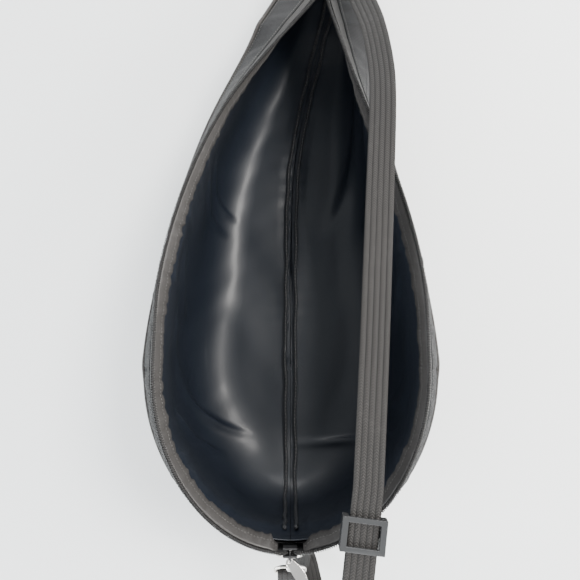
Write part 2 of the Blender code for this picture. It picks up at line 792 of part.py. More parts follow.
def clip_set(name, place, bail_turn):
    """Ring, hook, gate and bail in line. Local axes: X along the ring's bar, Z from ring to bail."""
    ring = [(-RING_HALF_WIDTH + 0.0012, 0, 0), (RING_HALF_WIDTH - 0.0012, 0, 0)]
    for step in range(13):
        angle = math.pi * step / 12
        ring.append((RING_HALF_WIDTH * math.cos(angle), 0, 0.0012 + (RING_REACH - 0.0012) * math.sin(angle)))
    tube(name + "_d_ring", ring, WIRE_RADIUS, METAL_BRIGHT, closed=True, place=place)
    eye_z = RING_REACH - WIRE_RADIUS - HOOK_RADIUS - CLEARANCE + HOOK_EYE
    path = [(0, 0, BARREL_START + 0.001), (0, -0.0002, BARREL_START - 0.001)]
    angles = [250 - step * 20 for step in range(13)]
    path += [(0, HOOK_EYE * math.cos(math.radians(a)), eye_z - HOOK_EYE * math.sin(math.radians(a))) for a in angles]
    hook = as_mesh(tube(name + "_hook", path, HOOK_RADIUS, METAL_BRIGHT))
    stud = 0.0015
    end = BARREL_START + BARREL_LENGTH
    eye_start = end + CLEARANCE
    head = eye_start + EYE_THICKNESS + CLEARANCE
    profile = [(0.0, head + 0.0014), (0.0027, head + 0.0014), (0.0027, head), (stud, head), (stud, end),
               (BARREL_RADIUS, end), (BARREL_RADIUS, BARREL_START), (0.0, BARREL_START)]
    barrel = as_mesh(turned(name + "_barrel", profile, METAL_BRIGHT))
    hook = combine(hook, [barrel])
    hook.matrix_world = place
    hook.data.materials.clear()
    hook.data.materials.append(METAL_BRIGHT)
    pivot = Vector((0, 0.0036, BARREL_START - 0.0020))
    gate = [(0, 0, 0), (0, 0.0011, eye_z + 0.0018 - pivot.z)]
    tube(name + "_gate", gate, 0.0011, METAL_BRIGHT, place=place @ Matrix.Translation(pivot))
    eye_profile = [(EYE_RADIUS, eye_start + EYE_THICKNESS), (EYE_RADIUS, eye_start),
                   (stud + CLEARANCE, eye_start), (stud + CLEARANCE, eye_start + EYE_THICKNESS)]
    bail = as_mesh(turned(name + "_bail", eye_profile, METAL_BRIGHT))
    middle = eye_start + EYE_THICKNESS / 2
    half = BAIL_HALF_WIDTH
    wire = [(EYE_RADIUS - 0.0014, 0, middle), (0.0085, 0, middle + 0.0004), (half - 0.0008, 0, BAIL_REACH - 0.0072),
            (half, 0, BAIL_REACH - 0.0058), (half, 0, BAIL_REACH - 0.0012), (half - 0.0012, 0, BAIL_REACH),
            (0, 0, BAIL_REACH)]
    wire = wire + [(-x, y, z) for x, y, z in reversed(wire[:-1])]
    bail = combine(bail, [as_mesh(tube(name + "_bail_wire", wire, WIRE_RADIUS, METAL_BRIGHT))])
    bail.matrix_world = place @ Matrix.Rotation(bail_turn, 4, "Z")
    bail.data.materials.clear()
    bail.data.materials.append(METAL_BRIGHT)


def smooth_route(knots, spacing):
    """Points about one spacing apart on a Catmull-Rom curve through the knots (position, roll)."""
    padded = [knots[0]] + list(knots) + [knots[-1]]
    result = []
    for index in range(1, len(padded) - 2):
        before, start, end, after = padded[index - 1:index + 3]
        steps = max(1, round((end - start).length / spacing))
        for step in range(steps):
            t = step / steps
            point = 0.5 * (2 * start + (end - before) * t + (2 * before - 5 * start + 4 * end - after) * t * t
                           + (3 * start - before - 3 * end + after) * t ** 3)
            result.append(point)
    result.append(knots[-1].copy())
    return result


def ribbon(name, centres, widths, normals, finish):
    """A flat strap: a rectangle carried along its centre line."""
    half = STRAP_WIDTH / 2
    thick = STRAP / 2
    points = []
    for centre, across, up in zip(centres, widths, normals):
        points += [centre + across * half + up * thick, centre - across * half + up * thick,
                   centre - across * half - up * thick, centre + across * half - up * thick]
    faces = [(0, 1, 2, 3)]
    for index in range(len(centres) - 1):
        a = 4 * index
        for corner in range(4):
            follow = (corner + 1) % 4
            faces.append((a + corner, a + 4 + corner, a + 4 + follow, a + follow))
    last = 4 * (len(centres) - 1)
    faces.append((last + 3, last + 2, last + 1, last))
    item = mesh_object(name, points, faces, finish)
    point_outwards(item)
    return item


# Route of the strap's middle line from the near bail to the far bail.
# The hanging loop's points are (x, distance beyond the wide end, height as a share of the front's height).
HANGING_LOOP = (
    (0.0, 0.0535, 0.675), (0.0012, 0.0600, 0.615), (0.0090, 0.0660, 0.450), (0.0130, 0.0720, 0.260),
    (0.0180, 0.0830, 0.120), (0.0230, 0.1000, 0.070), (0.0280, 0.1170, 0.130), (0.0320, 0.1240, 0.300),
    (0.0350, 0.1220, 0.525), (0.0380, 0.1120, 0.760), (0.0415, 0.0930, 0.970), (0.0448, 0.0640, 1.115),
)
# The stretch through the buckle is straight: its middle point and its heading.
GLIDE_POINT = Vector((0.0585, FRONT_Y + 0.035, lip_height(0.035) + 0.0254))
GLIDE_HEADING = Vector((0.125, 0.990, 0.020)).normalized()
# The stretch over the mouth is (x, share of the mouth's length, height above the zip).
OVER_MOUTH = (
    (0.069, 0.273, 0.0010), (0.074, 0.400, 0.0026), (0.080, 0.533, 0.0100), (0.088, 0.692, 0.0238),
    (0.089, 0.772, 0.0293), (0.085, 0.858, 0.0308), (0.078, 0.925, 0.0262),
)
ROLLS = ((0.0, 0), (0.60, 0), (0.72, -6), (0.82, -20), (0.90, -36), (0.95, -34), (1.0, -24))


def roll_at(share):
    for (low, first), (high, second) in zip(ROLLS, ROLLS[1:]):
        if share <= high:
            return math.radians(first + (second - first) * (share - low) / (high - low))
    return math.radians(ROLLS[-1][1])


def strap_frames(points, start_width, end_width):
    """Width and normal vectors: level across the route, eased into the bars at the two ends."""
    total = sum((b - a).length for a, b in zip(points, points[1:]))
    run = 0.0
    widths, normals = [], []
    previous = start_width.normalized()
    for index, point in enumerate(points):
        ahead = points[min(index + 1, len(points) - 1)]
        behind = points[max(index - 1, 0)]
        if index:
            run += (point - behind).length
        heading = (ahead - behind).normalized()
        across = previous - heading * previous.dot(heading)
        level = Vector((heading.y, -heading.x, 0))
        level = level.normalized() if level.length > 0.35 else across.normalized()
        if level.dot(previous) < 0:
            level = -level
        share = run / total
        wanted = Matrix.Rotation(roll_at(share), 3, heading) @ level
        wanted = (wanted if share > 0.3 else across.normalized() * 0.5 + wanted * 0.5).normalized()
        if share > 0.93:
            ease = (share - 0.93) / 0.07
            wanted = (wanted * (1 - ease) + end_width * ease).normalized()
        wanted = (wanted - heading * wanted.dot(heading)).normalized()
        if index == 0:
            wanted = start_width.normalized()
        if index == len(points) - 1:
            wanted = end_width.normalized()
        widths.append(wanted)
        normals.append(wanted.cross(heading).normalized())
        previous = wanted
    return widths, normals


def strap(near_place, near_turn, far_place, far_turn):
    """The webbing: one strap doubled between the near bail and the buckle, looped round both bails."""
    near_bar = near_place @ Vector((0, 0, BAIL_REACH))
    far_bar = far_place @ Vector((0, 0, BAIL_REACH))
    far_out = (far_place.to_3x3() @ Vector((0, 0, 1))).normalized()
    near_width = near_place.to_3x3() @ Matrix.Rotation(near_turn, 3, "Z") @ Vector((1, 0, 0))
    far_width = far_place.to_3x3() @ Matrix.Rotation(far_turn, 3, "Z") @ Vector((1, 0, 0))
    glide = [GLIDE_POINT + GLIDE_HEADING * reach for reach in (-0.062, -0.046, -0.030, 0.0, 0.022, 0.036)]
    knots = [near_bar] + [Vector((x, FRONT_Y - ahead, share * FRONT_HEIGHT)) for x, ahead, share in HANGING_LOOP]
    knots += glide
    for x, share, rise in OVER_MOUTH:
        along = share * MOUTH_LENGTH
        knots.append(Vector((x, FRONT_Y + along, lip_height(along) + rise)))
    knots += [far_bar + far_out * 0.016, far_bar + far_out * 0.008, far_bar]
    points = smooth_route(knots, 0.018)
    widths, normals = strap_frames(points, near_width, far_width)
    ply = (STRAP + PLY_GAP) / 2
    wrap = WIRE_RADIUS + BAR_CLEARANCE + STRAP / 2
    lengths = [0.0]
    for before, after in zip(points, points[1:]):
        lengths.append(lengths[-1] + (after - before).length)
    total = lengths[-1]

    def spread(run):
        reach = min(run, total - run)
        ease = min(1.0, max(0.0, reach / 0.020))
        return wrap + (ply - wrap) * ease * ease * (3 - 2 * ease)

    def wrapped(bar, beyond, across, first_normal):
        """Half a turn round the far side of a bar, from the side of first_normal to the other."""
        steps = 7
        turn = []
        for step in range(1, steps):
            angle = math.pi * step / steps
            spoke = first_normal * math.cos(angle) + beyond * math.sin(angle)
            turn.append((bar + spoke * wrap, across, spoke))
        return turn

    glide_index = min(range(len(points)), key=lambda i: (points[i] - GLIDE_POINT).length)
    gap = GLIDE_CENTRE_BAR / 2 + 0.011 + GLIDE_TRAVEL + 0.0005
    stop_run = lengths[glide_index] - gap
    under = [i for i in range(len(points)) if lengths[i] < stop_run - 0.004]
    tail = [i for i in range(len(points)) if total - lengths[i] < 0.045]
    route = []
    for i in reversed(under):
        route.append((points[i] - normals[i] * spread(lengths[i]), widths[i], -normals[i]))
    route += wrapped(near_bar, (points[0] - points[1]).normalized(), widths[0], -normals[0])
    for i in range(len(points)):
        route.append((points[i] + normals[i] * spread(lengths[i]), widths[i], normals[i]))
    route += wrapped(far_bar, (points[-1] - points[-2]).normalized(), widths[-1], normals[-1])
    for i in reversed(tail):
        route.append((points[i] - normals[i] * spread(lengths[i]), widths[i], -normals[i]))
    ribbon("strap_webbing", [item[0] for item in route], [item[1] for item in route],
           [item[2] for item in route], WEBBING_FINISH)
    heading = GLIDE_HEADING
    across = (widths[glide_index] - heading * widths[glide_index].dot(heading)).normalized()
    return frame_of(GLIDE_POINT, across, heading, across.cross(heading))


def glide(place):
    """The three-bar buckle. The strap passes under the outer bars and over the lower centre bar."""
    ply = (STRAP + PLY_GAP) / 2
    top = ply + STRAP / 2 + CLEARANCE
    loop_low = -ply - STRAP / 2
    bar_top = loop_low - CLEARANCE
    bar_low = bar_top - GLIDE_CENTRE_HEIGHT
    half = GLIDE_WIDTH / 2
    reach = GLIDE_LENGTH / 2
    inner = STRAP_WIDTH / 2 + 0.0006
    body = block("tri_glide", (-half, -reach, bar_low), (half, reach, top + GLIDE_BAR_HEIGHT), BUCKLE_FINISH)
    channel = block("glide_channel", (-inner, -reach - 0.002, bar_low - 0.002), (inner, reach + 0.002, top), BUCKLE_FINISH)
    window = block("glide_window", (-inner, -reach + GLIDE_BAR, top - 0.001),
                   (inner, reach - GLIDE_BAR, top + GLIDE_BAR_HEIGHT + 0.002), BUCKLE_FINISH)
    body = combine(body, [channel, window], "DIFFERENCE")
    bar = block("glide_bar", (-inner - 0.002, -GLIDE_CENTRE_BAR / 2, bar_low + 0.0002),
                (inner + 0.002, GLIDE_CENTRE_BAR / 2, bar_top), BUCKLE_FINISH)
    body = combine(body, [bar])
    body.matrix_world = place
    body.data.materials.clear()
    body.data.materials.append(BUCKLE_FINISH)
    centre_z = (bar_low + bar_top) / 2
    radius = GLIDE_CENTRE_HEIGHT / 2 + CLEARANCE + STRAP / 2 + 0.0001
    edge = GLIDE_CENTRE_BAR / 2
    path = [(-0.040, -ply - STRAP - PLY_GAP), (-0.022, -ply - STRAP - PLY_GAP), (-0.010, -ply - STRAP - PLY_GAP - 0.0002),
            (-edge - 0.001, centre_z - radius), (edge - 0.0006, centre_z - radius)]
    path += arc_points((edge - 0.0006, centre_z), radius, -67.5, 90, 7)
    path += [(-edge, -ply), (-edge - 0.010, -ply)]
    turn = place.to_3x3()
    centres, ups = [], []
    for index, (along, height) in enumerate(path):
        centres.append(place @ Vector((0, along, height)))
        before = path[max(index - 1, 0)]
        after = path[min(index + 1, len(path) - 1)]
        heading = Vector((0, after[0] - before[0], after[1] - before[1])).normalized()
        ups.append(turn @ Vector((0, -heading.z, heading.y)))
    across = turn @ Vector((1, 0, 0))
    ribbon("strap_sewn_loop", centres, [across] * len(centres), ups, WEBBING_FINISH)


# ---------------------------------------------------------------- build

clear_scene()
BAG = new_collection("racket_tournament_bag")
CUTTERS = new_collection("cutters")
CANVAS = material("canvas", (0.10, 0.10, 0.105), 0.8)
LINING_FINISH = material("lining", (0.02, 0.03, 0.045), 0.35)
FOAM_FINISH = material("foam", (0.55, 0.55, 0.52), 0.9)
PIPING_FINISH = material("piping", (0.13, 0.11, 0.10), 0.6)
TAPE_FINISH = material("zip_tape", (0.09, 0.09, 0.09), 0.8)
COIL_FINISH = material("zip_coil", (0.12, 0.11, 0.10), 0.45)
BINDING_FINISH = material("binding", (0.06, 0.06, 0.065), 0.5)
WEBBING_FINISH = material("webbing", (0.16, 0.15, 0.14), 0.75)
BUCKLE_FINISH = material("buckle", (0.05, 0.05, 0.05), 0.35)
METAL_BRIGHT = material("nickel", (0.75, 0.72, 0.68), 0.25, 1.0)
METAL_DARK = material("black_metal", (0.03, 0.03, 0.03), 0.4, 0.6)

for hand, label in ((-1, "left"), (1, "right")):
    face_panels(hand, label)
    lining(hand, label)
    gusset_strip(hand, label)
    piping(hand, label)
    zip_coil(hand, label)
    spine_rib(hand, label)
spine_strip()
wide_end_gusset()
narrow_end()
zip_end_tab()
pull(slider())
bottom_stop()

near_bar = end_frame(NEAR_TAB_HEIGHT, -TAB_OFFSET)
near_origin = near_bar.translation
near_tail = near_bar @ Matrix.Rotation(math.pi, 4, "Z")
ring_tab("near_ring_tab", near_tail)
near_clip = axes(near_origin, Vector((1, 0, 0)), NEAR_HEADING)
clip_set("near", near_clip, 0.0)

far_slope = (lip_height(FAR_TAB_ALONG + 0.005) - lip_height(FAR_TAB_ALONG - 0.005)) / 0.01
far_normal = Vector((0, -far_slope, 1)).normalized()
far_surface = Vector((sway(FAR_TAB_ALONG), FRONT_Y + FAR_TAB_ALONG, lip_height(FAR_TAB_ALONG)))
far_origin = far_surface + far_normal * (TAB_OFFSET + 0.0004)
far_across = far_normal.cross(FAR_HEADING).normalized()
ring_tab("far_ring_tab", frame_of(far_origin, far_across, far_normal.cross(far_across), far_normal))
far_clip = axes(far_origin, far_across, FAR_HEADING)
clip_set("far", far_clip, FAR_BAIL_TURN)

glide_place = strap(near_clip, 0.0, far_clip, FAR_BAIL_TURN)
glide(glide_place)
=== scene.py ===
"""Looks of the racket tournament bag: padded shell, coated lining, open zip, webbing strap and clips.

Frame: the wide end points to -Y, the narrow end to +Y, the open zip faces +Z, and z = 0 is the floor.
All sizes are in metres. The shell is one surface: a station q runs round it from the middle of the
wide end, and an arc length runs over each section from the spine up to the piping and on to the zip.
"""

import bpy
import numpy as np
from mathutils import Matrix, Vector


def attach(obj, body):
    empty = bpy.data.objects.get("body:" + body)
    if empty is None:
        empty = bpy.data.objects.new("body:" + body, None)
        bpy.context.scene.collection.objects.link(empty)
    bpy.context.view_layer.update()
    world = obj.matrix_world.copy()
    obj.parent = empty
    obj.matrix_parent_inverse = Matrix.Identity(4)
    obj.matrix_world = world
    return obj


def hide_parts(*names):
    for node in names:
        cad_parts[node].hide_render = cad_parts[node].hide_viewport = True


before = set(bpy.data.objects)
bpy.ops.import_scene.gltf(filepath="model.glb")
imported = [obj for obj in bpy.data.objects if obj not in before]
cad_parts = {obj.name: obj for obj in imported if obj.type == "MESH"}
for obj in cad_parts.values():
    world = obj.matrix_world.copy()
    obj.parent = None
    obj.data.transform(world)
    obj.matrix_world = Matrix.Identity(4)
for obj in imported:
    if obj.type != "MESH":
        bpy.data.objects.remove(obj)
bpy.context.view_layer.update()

bl_info = {
    "name": "Racket Bag Looks",
    "version": (1, 0, 0),
    "blender": (4, 5, 0),
    "location": "View3D > Sidebar > Bag",
    "description": "Cloth, zip, strap and clips of an open racket bag",
    "category": "Add Mesh",
}

# Shell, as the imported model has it
LENGTH = 0.740
MOUTH_LENGTH = 0.600
NOSE_LENGTH = 0.165
NOSE_OVERHANG = 0.010
LIP_HALF_WIDTH = 0.116
PIPING_HALF_WIDTH = 0.134
THROAT_DROP = 0.085
TAIL_HALF_WIDTH = 0.036
FRONT_HEIGHT = 0.200
CREST_HEIGHT = 0.241
TAIL_HEIGHT = 0.116
BULGE = 0.010
BULGE_LEVEL = 0.42
FLOOR_SHARE = 0.50
CORNER_POWER = 0.91
FLOOR_CORNER_STEPS = 60
WALL_STEPS = 24
LIP_TAPER_START = 0.055
LIP_TAPER_POWER = 1.6
THROAT_POWER = 1.42
LEAST_DROP = 0.008
CREST_OFFSET = 0.005
SWAY_START = 0.440
SWAY_EASE = 0.060
SWAY_SLOPE = 0.12
GUSSET_POWER = 1.5
FLARE_START = 0.8
END_ARC = 0.225
NORMAL_STEP = 1e-3
BISECTIONS = 26
FRONT_Y = -LENGTH / 2
NOSE_Y = FRONT_Y + NOSE_LENGTH
Q_END = 1 + (LENGTH - NOSE_LENGTH) / END_ARC
Q_MOUTH = 1 + (MOUTH_LENGTH - NOSE_LENGTH) / END_ARC

# Layers and seams
FOAM_END = 0.0059
LINING_DEPTH = 0.0082
LINING = 0.0008
STRIP_WIDTH = 0.042
STRIP = 0.0016
PIPING_RADIUS = 0.0022
SEAM_CLEARANCE = 0.0016
INSET = PIPING_RADIUS + SEAM_CLEARANCE
SPINE_HALF_WIDTH = 0.009
END_SEAM_HALF_WIDTH = 0.040
CORNER_FLARE = 0.018
TAPE_WIDTH = 0.0084
COIL_RADIUS = 0.0020
COIL_SPACING = COIL_RADIUS + 0.0010
ZIP_LANE = 0.009
COIL_DEPTH = 0.0010
CLOSED_ZIP_LENGTH = 0.020
RIB_RADIUS = 0.002
RIB_SPACING = 0.0065
CLEARANCE = 0.0003

# Stripe on the right panel: where it starts along the cloth, and its bands below the piped seam
STRIPE_START = 0.495
STRIPE_BANDS = ((0.004, 0.016), (0.016, 0.021))

# Strap and clips
STRAP_WIDTH = 0.025
STRAP = 0.0014
PLY_GAP = 0.0003
WIRE_RADIUS = 0.0015
BAR_CLEARANCE = 0.0006
HOOK_RADIUS = 0.00175
HOOK_EYE = 0.0055
RING_REACH = 0.0115
TAB_WIDTH = STRAP_WIDTH - 0.0025
TAB_LAYER = 0.0014
TAB_TAIL = 0.018
RING_HALF_WIDTH = TAB_WIDTH / 2 + 0.0008 + WIRE_RADIUS
BARREL_RADIUS = 0.0042
BARREL_START = 0.024
BARREL_LENGTH = 0.007
EYE_RADIUS = 0.0044
EYE_THICKNESS = 0.003
BAIL_REACH = 0.044
BAIL_HALF_WIDTH = STRAP_WIDTH / 2 + 0.0008 + WIRE_RADIUS
GLIDE_CENTRE_BAR = 0.005
GLIDE_CENTRE_HEIGHT = 0.0018
GLIDE_TRAVEL = 0.008
NEAR_TAB_HEIGHT = 0.010
NEAR_HEADING = (0, -0.75, -0.66)
FAR_TAB_ALONG = MOUTH_LENGTH + 0.050
FAR_HEADING = (0.30, -0.84, 0.46)
FAR_BAIL_TURN = np.radians(24)
TAB_OFFSET = WIRE_RADIUS + BAR_CLEARANCE + TAB_LAYER + CLEARANCE


# ---------------------------------------------------------------- the shell's surface

def soft_maximum(value, floor, ease):
    """The mean of value and floor, plus half the root of their squared difference and squared ease."""
    return (value + floor + np.sqrt((value - floor) ** 2 + ease ** 2)) / 2


def smooth(value, low, high):
    """A step from 0 to 1 between low and high: three t squared less two t cubed."""
    t = np.clip((value - low) / (high - low), 0, 1)
    return t * t * (3 - 2 * t)


def sway(along):
    """Sideways drift: half the slope times the sum of the distance past the start and its soft size."""
    ahead = along - SWAY_START
    return SWAY_SLOPE * (np.sqrt(ahead ** 2 + SWAY_EASE ** 2) + ahead)


def lip_half_width(along):
    """Half width of the mouth behind the round end: full at first, then less by a power of the distance."""
    start = NOSE_LENGTH + LIP_TAPER_START
    share = np.clip((along - start) / (MOUTH_LENGTH - start), 0, None)
    return soft_maximum(LIP_HALF_WIDTH * (1 - share ** LIP_TAPER_POWER), COIL_SPACING, 0.008)


def piping_half_width(along):
    """Half width at the piped seam behind the round end, less by a power of the distance."""
    share = np.clip((along - NOSE_LENGTH) / (MOUTH_LENGTH - NOSE_LENGTH), 0, None)
    return soft_maximum(PIPING_HALF_WIDTH - THROAT_DROP * share ** THROAT_POWER, TAIL_HALF_WIDTH, 0.020)


def lip_height(along):
    """Height of the zip: a parabola up to the widest place, then a half cosine down to the tail."""
    crest = NOSE_LENGTH + CREST_OFFSET
    rise = CREST_HEIGHT - (CREST_HEIGHT - FRONT_HEIGHT) * (1 - along / crest) ** 2
    turn = np.pi * np.clip((along - crest) / (LENGTH - crest), 0, 1)
    fall = TAIL_HEIGHT + (CREST_HEIGHT - TAIL_HEIGHT) * (1 + np.cos(turn)) / 2
    return np.where(along < crest, rise, fall)


def sections(q):
    """Upright sections at the stations q: a flat floor, a quarter superellipse, then a parabola."""
    turn = np.clip(q, 0, 1) * np.pi / 2
    in_nose = q <= 1
    along = np.where(in_nose, NOSE_LENGTH * (1 - np.cos(turn)), NOSE_LENGTH + (q - 1) * END_ARC)
    flat = np.zeros_like(along)
    piping = np.stack([np.where(in_nose, PIPING_HALF_WIDTH * np.sin(turn), piping_half_width(along)),
                       np.where(in_nose, -(NOSE_LENGTH + NOSE_OVERHANG) * np.cos(turn), flat)], -1)
    lip = np.stack([np.where(in_nose, LIP_HALF_WIDTH * np.sin(turn), lip_half_width(along)),
                    np.where(in_nose, -NOSE_LENGTH * np.cos(turn), flat)], -1)
    lean = np.linalg.norm(piping - lip, axis=-1)
    drop = np.sqrt(np.maximum(STRIP_WIDTH ** 2 - lean ** 2, LEAST_DROP ** 2))
    radius = np.linalg.norm(piping, axis=-1)
    piping_z = lip_height(along) - drop
    angle = np.linspace(0, np.pi / 2, FLOOR_CORNER_STEPS + 1)[1:]
    share = np.linspace(0, 1, WALL_STEPS + 1)[1:]
    floor_end = (FLOOR_SHARE * radius)[..., None]
    widest = (radius + BULGE)[..., None]
    level = (BULGE_LEVEL * piping_z)[..., None]
    corner_out = floor_end + (widest - floor_end) * np.sin(angle) ** CORNER_POWER
    corner_up = level * (1 - np.clip(np.cos(angle), 0, 1) ** CORNER_POWER)
    out = np.concatenate([0 * floor_end, floor_end, corner_out, widest - BULGE * share ** 2], -1)
    up = np.concatenate([0 * level, 0 * level, corner_up, level + (piping_z[..., None] - level) * share], -1)
    arcs = np.concatenate([0 * level, np.cumsum(np.hypot(np.diff(out), np.diff(up)), -1)], -1)
    centre = np.stack([flat, np.where(in_nose, NOSE_Y, FRONT_Y + along)], -1)
    return {"along": along, "piping": piping, "lip": lip, "drop": drop, "radius": radius, "out": out,
            "up": up, "arcs": arcs, "wall": arcs[..., -1], "strip": np.hypot(lean, drop), "centre": centre,
            "piping_z": piping_z}


def shell_face(q, arc):
    """Points of the outer face at stations q and arc lengths, before the sway."""
    q, arc = np.broadcast_arrays(np.asarray(q, float), np.asarray(arc, float))
    here = sections(q)
    index = np.clip(np.sum(here["arcs"][..., 1:-1] < arc[..., None], -1), 0, here["arcs"].shape[-1] - 2)

    def take(table, step):
        return np.take_along_axis(here[table], (index + step)[..., None], -1)[..., 0]

    share = (arc - take("arcs", 0)) / (take("arcs", 1) - take("arcs", 0))
    radial = (take("out", 0) + share * (take("out", 1) - take("out", 0))) / here["radius"]
    height = take("up", 0) + share * (take("up", 1) - take("up", 0))
    above = ((arc - here["wall"]) / here["strip"])[..., None]
    on_strip = above[..., 0] >= 0
    plan = np.where(on_strip[..., None], here["piping"] + above * (here["lip"] - here["piping"]),
                    here["piping"] * radial[..., None]) + here["centre"]
    height = np.where(on_strip, here["piping_z"] + above[..., 0] * here["drop"], height)
    return np.concatenate([plan, height[..., None]], -1)


def unit(vectors):
    """The vectors at length one."""
    return vectors / np.maximum(np.linalg.norm(vectors, axis=-1, keepdims=True), 1e-12)


def shell_normal(q, arc):
    """The outward normal: the cross product of the differences along the shell and up the section."""
    near = np.maximum(q - NORMAL_STEP, 0)
    low = np.maximum(arc - NORMAL_STEP, 0)
    along = shell_face(near + 2 * NORMAL_STEP, arc) - shell_face(near, arc)
    upward = shell_face(q, low + 2 * NORMAL_STEP) - shell_face(q, low)
    return unit(np.cross(along, upward))


def shell(side, q, arc, depth):
    """Points at a depth below the outer face, on the left (-1) or the right (+1), with the sway."""
    q, arc = np.broadcast_arrays(np.asarray(q, float), np.asarray(arc, float))
    point = shell_face(q, arc) - shell_normal(q, arc) * np.broadcast_to(depth, q.shape)[..., None]
    across = side * point[..., 0] + sway(point[..., 1] - FRONT_Y)
    return np.stack([across, point[..., 1], point[..., 2]], -1)


def outward_at(side, q, arc):
    """The outward normal on the left (-1) or the right (+1)."""
    return shell_normal(q, arc) * np.array([side, 1, 1])


def station_at(lateral, arc_of):
    """Stations in the round end where the shell is a given distance from the middle, by bisection."""
    low = np.zeros_like(lateral)
    high = np.ones_like(lateral)
    for _ in range(BISECTIONS):
        middle = (low + high) / 2
        inside = shell_face(middle, arc_of(middle))[..., 0] < lateral
        low = np.where(inside, middle, low)
        high = np.where(inside, high, middle)
    return (low + high) / 2


def wall_arc(share, q, inset=0.0):
    """Arc length at a share of the way from the spine seam to the piped seam."""
    start = SPINE_HALF_WIDTH + inset
    return start + share * (sections(q)["wall"] - inset - start)


def strip_arc(above, q):
    """Arc length at a height above the piped seam, measured over the zip-side strip."""
    here = sections(q)
    return here["wall"] + above * here["strip"] / STRIP_WIDTH


def first_station(lateral, above):
    """The station at a distance from the middle and a height above the piped seam."""
    return float(station_at(np.array([lateral]), lambda q: strip_arc(above, q))[0])


def seam_half_width(share):
    """Half width of the wide-end gusset at a share of its height: it widens, and flares at the top corner."""
    flare = np.clip((share - FLARE_START) / (1 - FLARE_START), 0, None) ** 2
    widening = (END_SEAM_HALF_WIDTH - SPINE_HALF_WIDTH) * share ** GUSSET_POWER
    return SPINE_HALF_WIDTH + widening + CORNER_FLARE * flare


# ---------------------------------------------------------------- cloth relief

def waves(place, pitch, seed, turns=9):
    """Uneven ripples: a mean of sines in random directions, whose pitches spread round the given one."""
    pick = np.random.default_rng(seed)
    total = 0
    for _ in range(turns):
        heading = pick.normal(size=place.shape[-1])
        heading *= 2 * np.pi / (pitch * pick.uniform(0.6, 1.7) * np.linalg.norm(heading))
        total = total + np.sin(place @ heading + pick.uniform(0, 2 * np.pi))
    return total / turns ** 0.5


def ripples(q, arc, rise, pitch, seed, turns):
    """Waves that run along the shell, where rise says how much the arc length counts."""
    return waves(np.stack([q * END_ARC, rise * arc], -1), pitch, seed, turns)


def creases(place, pitch, seed):
    """Sharp random folds: one less the size of a wave, to a power, so that only the crests stand up."""
    bent = place + 0.25 * pitch * waves(place, 1.6 * pitch, seed + 7)[..., None]
    return np.clip(1 - np.abs(waves(bent, pitch, seed, 5)), 0, 1) ** 3


def folds(along, up, table):
    """Raised folds: for each row, a ridge along the line between two points, sharp on one flank.

    The ridge is a bell curve of the distance from the line, and fades at the line's two ends."""
    total = np.zeros_like(along)
    for start, end, bow, width, height in table:
        run = np.subtract(end, start)
        size = np.hypot(*run)
        t = ((along - start[0]) * run[0] + (up - start[1]) * run[1]) / size ** 2
        off = ((up - start[1]) * run[0] - (along - start[0]) * run[1]) / size
        off = off - bow * (1 - (2 * t - 1) ** 2)
        flank = np.where(off > 0, width, 0.6 * width)
        ends = smooth(t, -0.05, 0.25) * (1 - smooth(t, 0.75, 1.05))
        total = np.maximum(total, height * ends * np.exp(-(off / flank) ** 2))
    return total


# Folds of the lining as (distance along the bag, arc length from the spine) at both ends,
# then the bow of the line, the width of the fold and its height
LEFT_FOLDS = (
    ((0.330, 0.095), (0.400, 0.190), 0.010, 0.007, 0.0034),
    ((0.352, 0.080), (0.425, 0.165), 0.011, 0.006, 0.0030),
    ((0.060, 0.120), (0.160, 0.205), 0.008, 0.010, 0.0060),
    ((0.040, 0.165), (0.110, 0.235), 0.006, 0.008, 0.0050),
    ((0.130, 0.150), (0.225, 0.225), 0.010, 0.010, 0.0044),
    ((0.210, 0.170), (0.300, 0.225), 0.008, 0.012, 0.0030),
)
RIGHT_FOLDS = (
    ((0.330, 0.050), (0.560, 0.110), 0.018, 0.020, 0.0060),
    ((0.330, 0.110), (0.480, 0.180), 0.012, 0.015, 0.0050),
    ((0.250, 0.140), (0.340, 0.225), 0.010, 0.011, 0.0052),
    ((0.195, 0.135), (0.275, 0.230), 0.010, 0.010, 0.0050),
    ((0.140, 0.130), (0.195, 0.235), 0.008, 0.009, 0.0054),
    ((0.090, 0.125), (0.130, 0.230), 0.008, 0.009, 0.0050),
    ((0.050, 0.110), (0.080, 0.215), 0.006, 0.008, 0.0044),
)


# ---------------------------------------------------------------- meshes

# Steps of the curve between two given points, before it is cut into even lengths
SPAN_STEPS = 16
# Angles of a wire's domed cap, from its tip
DOME = np.array([0.02, 0.45, 0.8]) * np.pi / 2
# Length of a stitch as a share of its pitch
STITCH_SHARE = 0.62


def solid(name, points, faces, finish, cloth=None, sharp=50):
    """A smooth-shaded piece from arrays of points and faces, turned outwards by the sign of its volume."""
    faces = np.asarray(faces)
    corners = points[faces]
    fans = np.cross(corners[:, 1], corners[:, 2]) * corners[:, 0]
    volume = fans.sum()
    if faces.shape[1] == 4:
        volume += (np.cross(corners[:, 2], corners[:, 3]) * corners[:, 0]).sum()
    if volume < 0:
        faces = faces[:, ::-1]
    mesh = bpy.data.meshes.new(name)
    mesh.from_pydata(points.tolist(), [], faces.tolist())
    if cloth is not None:
        data = mesh.attributes.new("cloth", "FLOAT_VECTOR", "POINT")
        data.data.foreach_set("vector", np.ascontiguousarray(cloth, np.float32).ravel())
    mesh.materials.append(finish)
    mesh.polygons.foreach_set("use_smooth", np.ones(len(faces), bool))
    mesh.set_sharp_from_angle(angle=np.radians(sharp))
    piece = bpy.data.objects.new(name, mesh)
    bpy.context.scene.collection.objects.link(piece)
    return piece


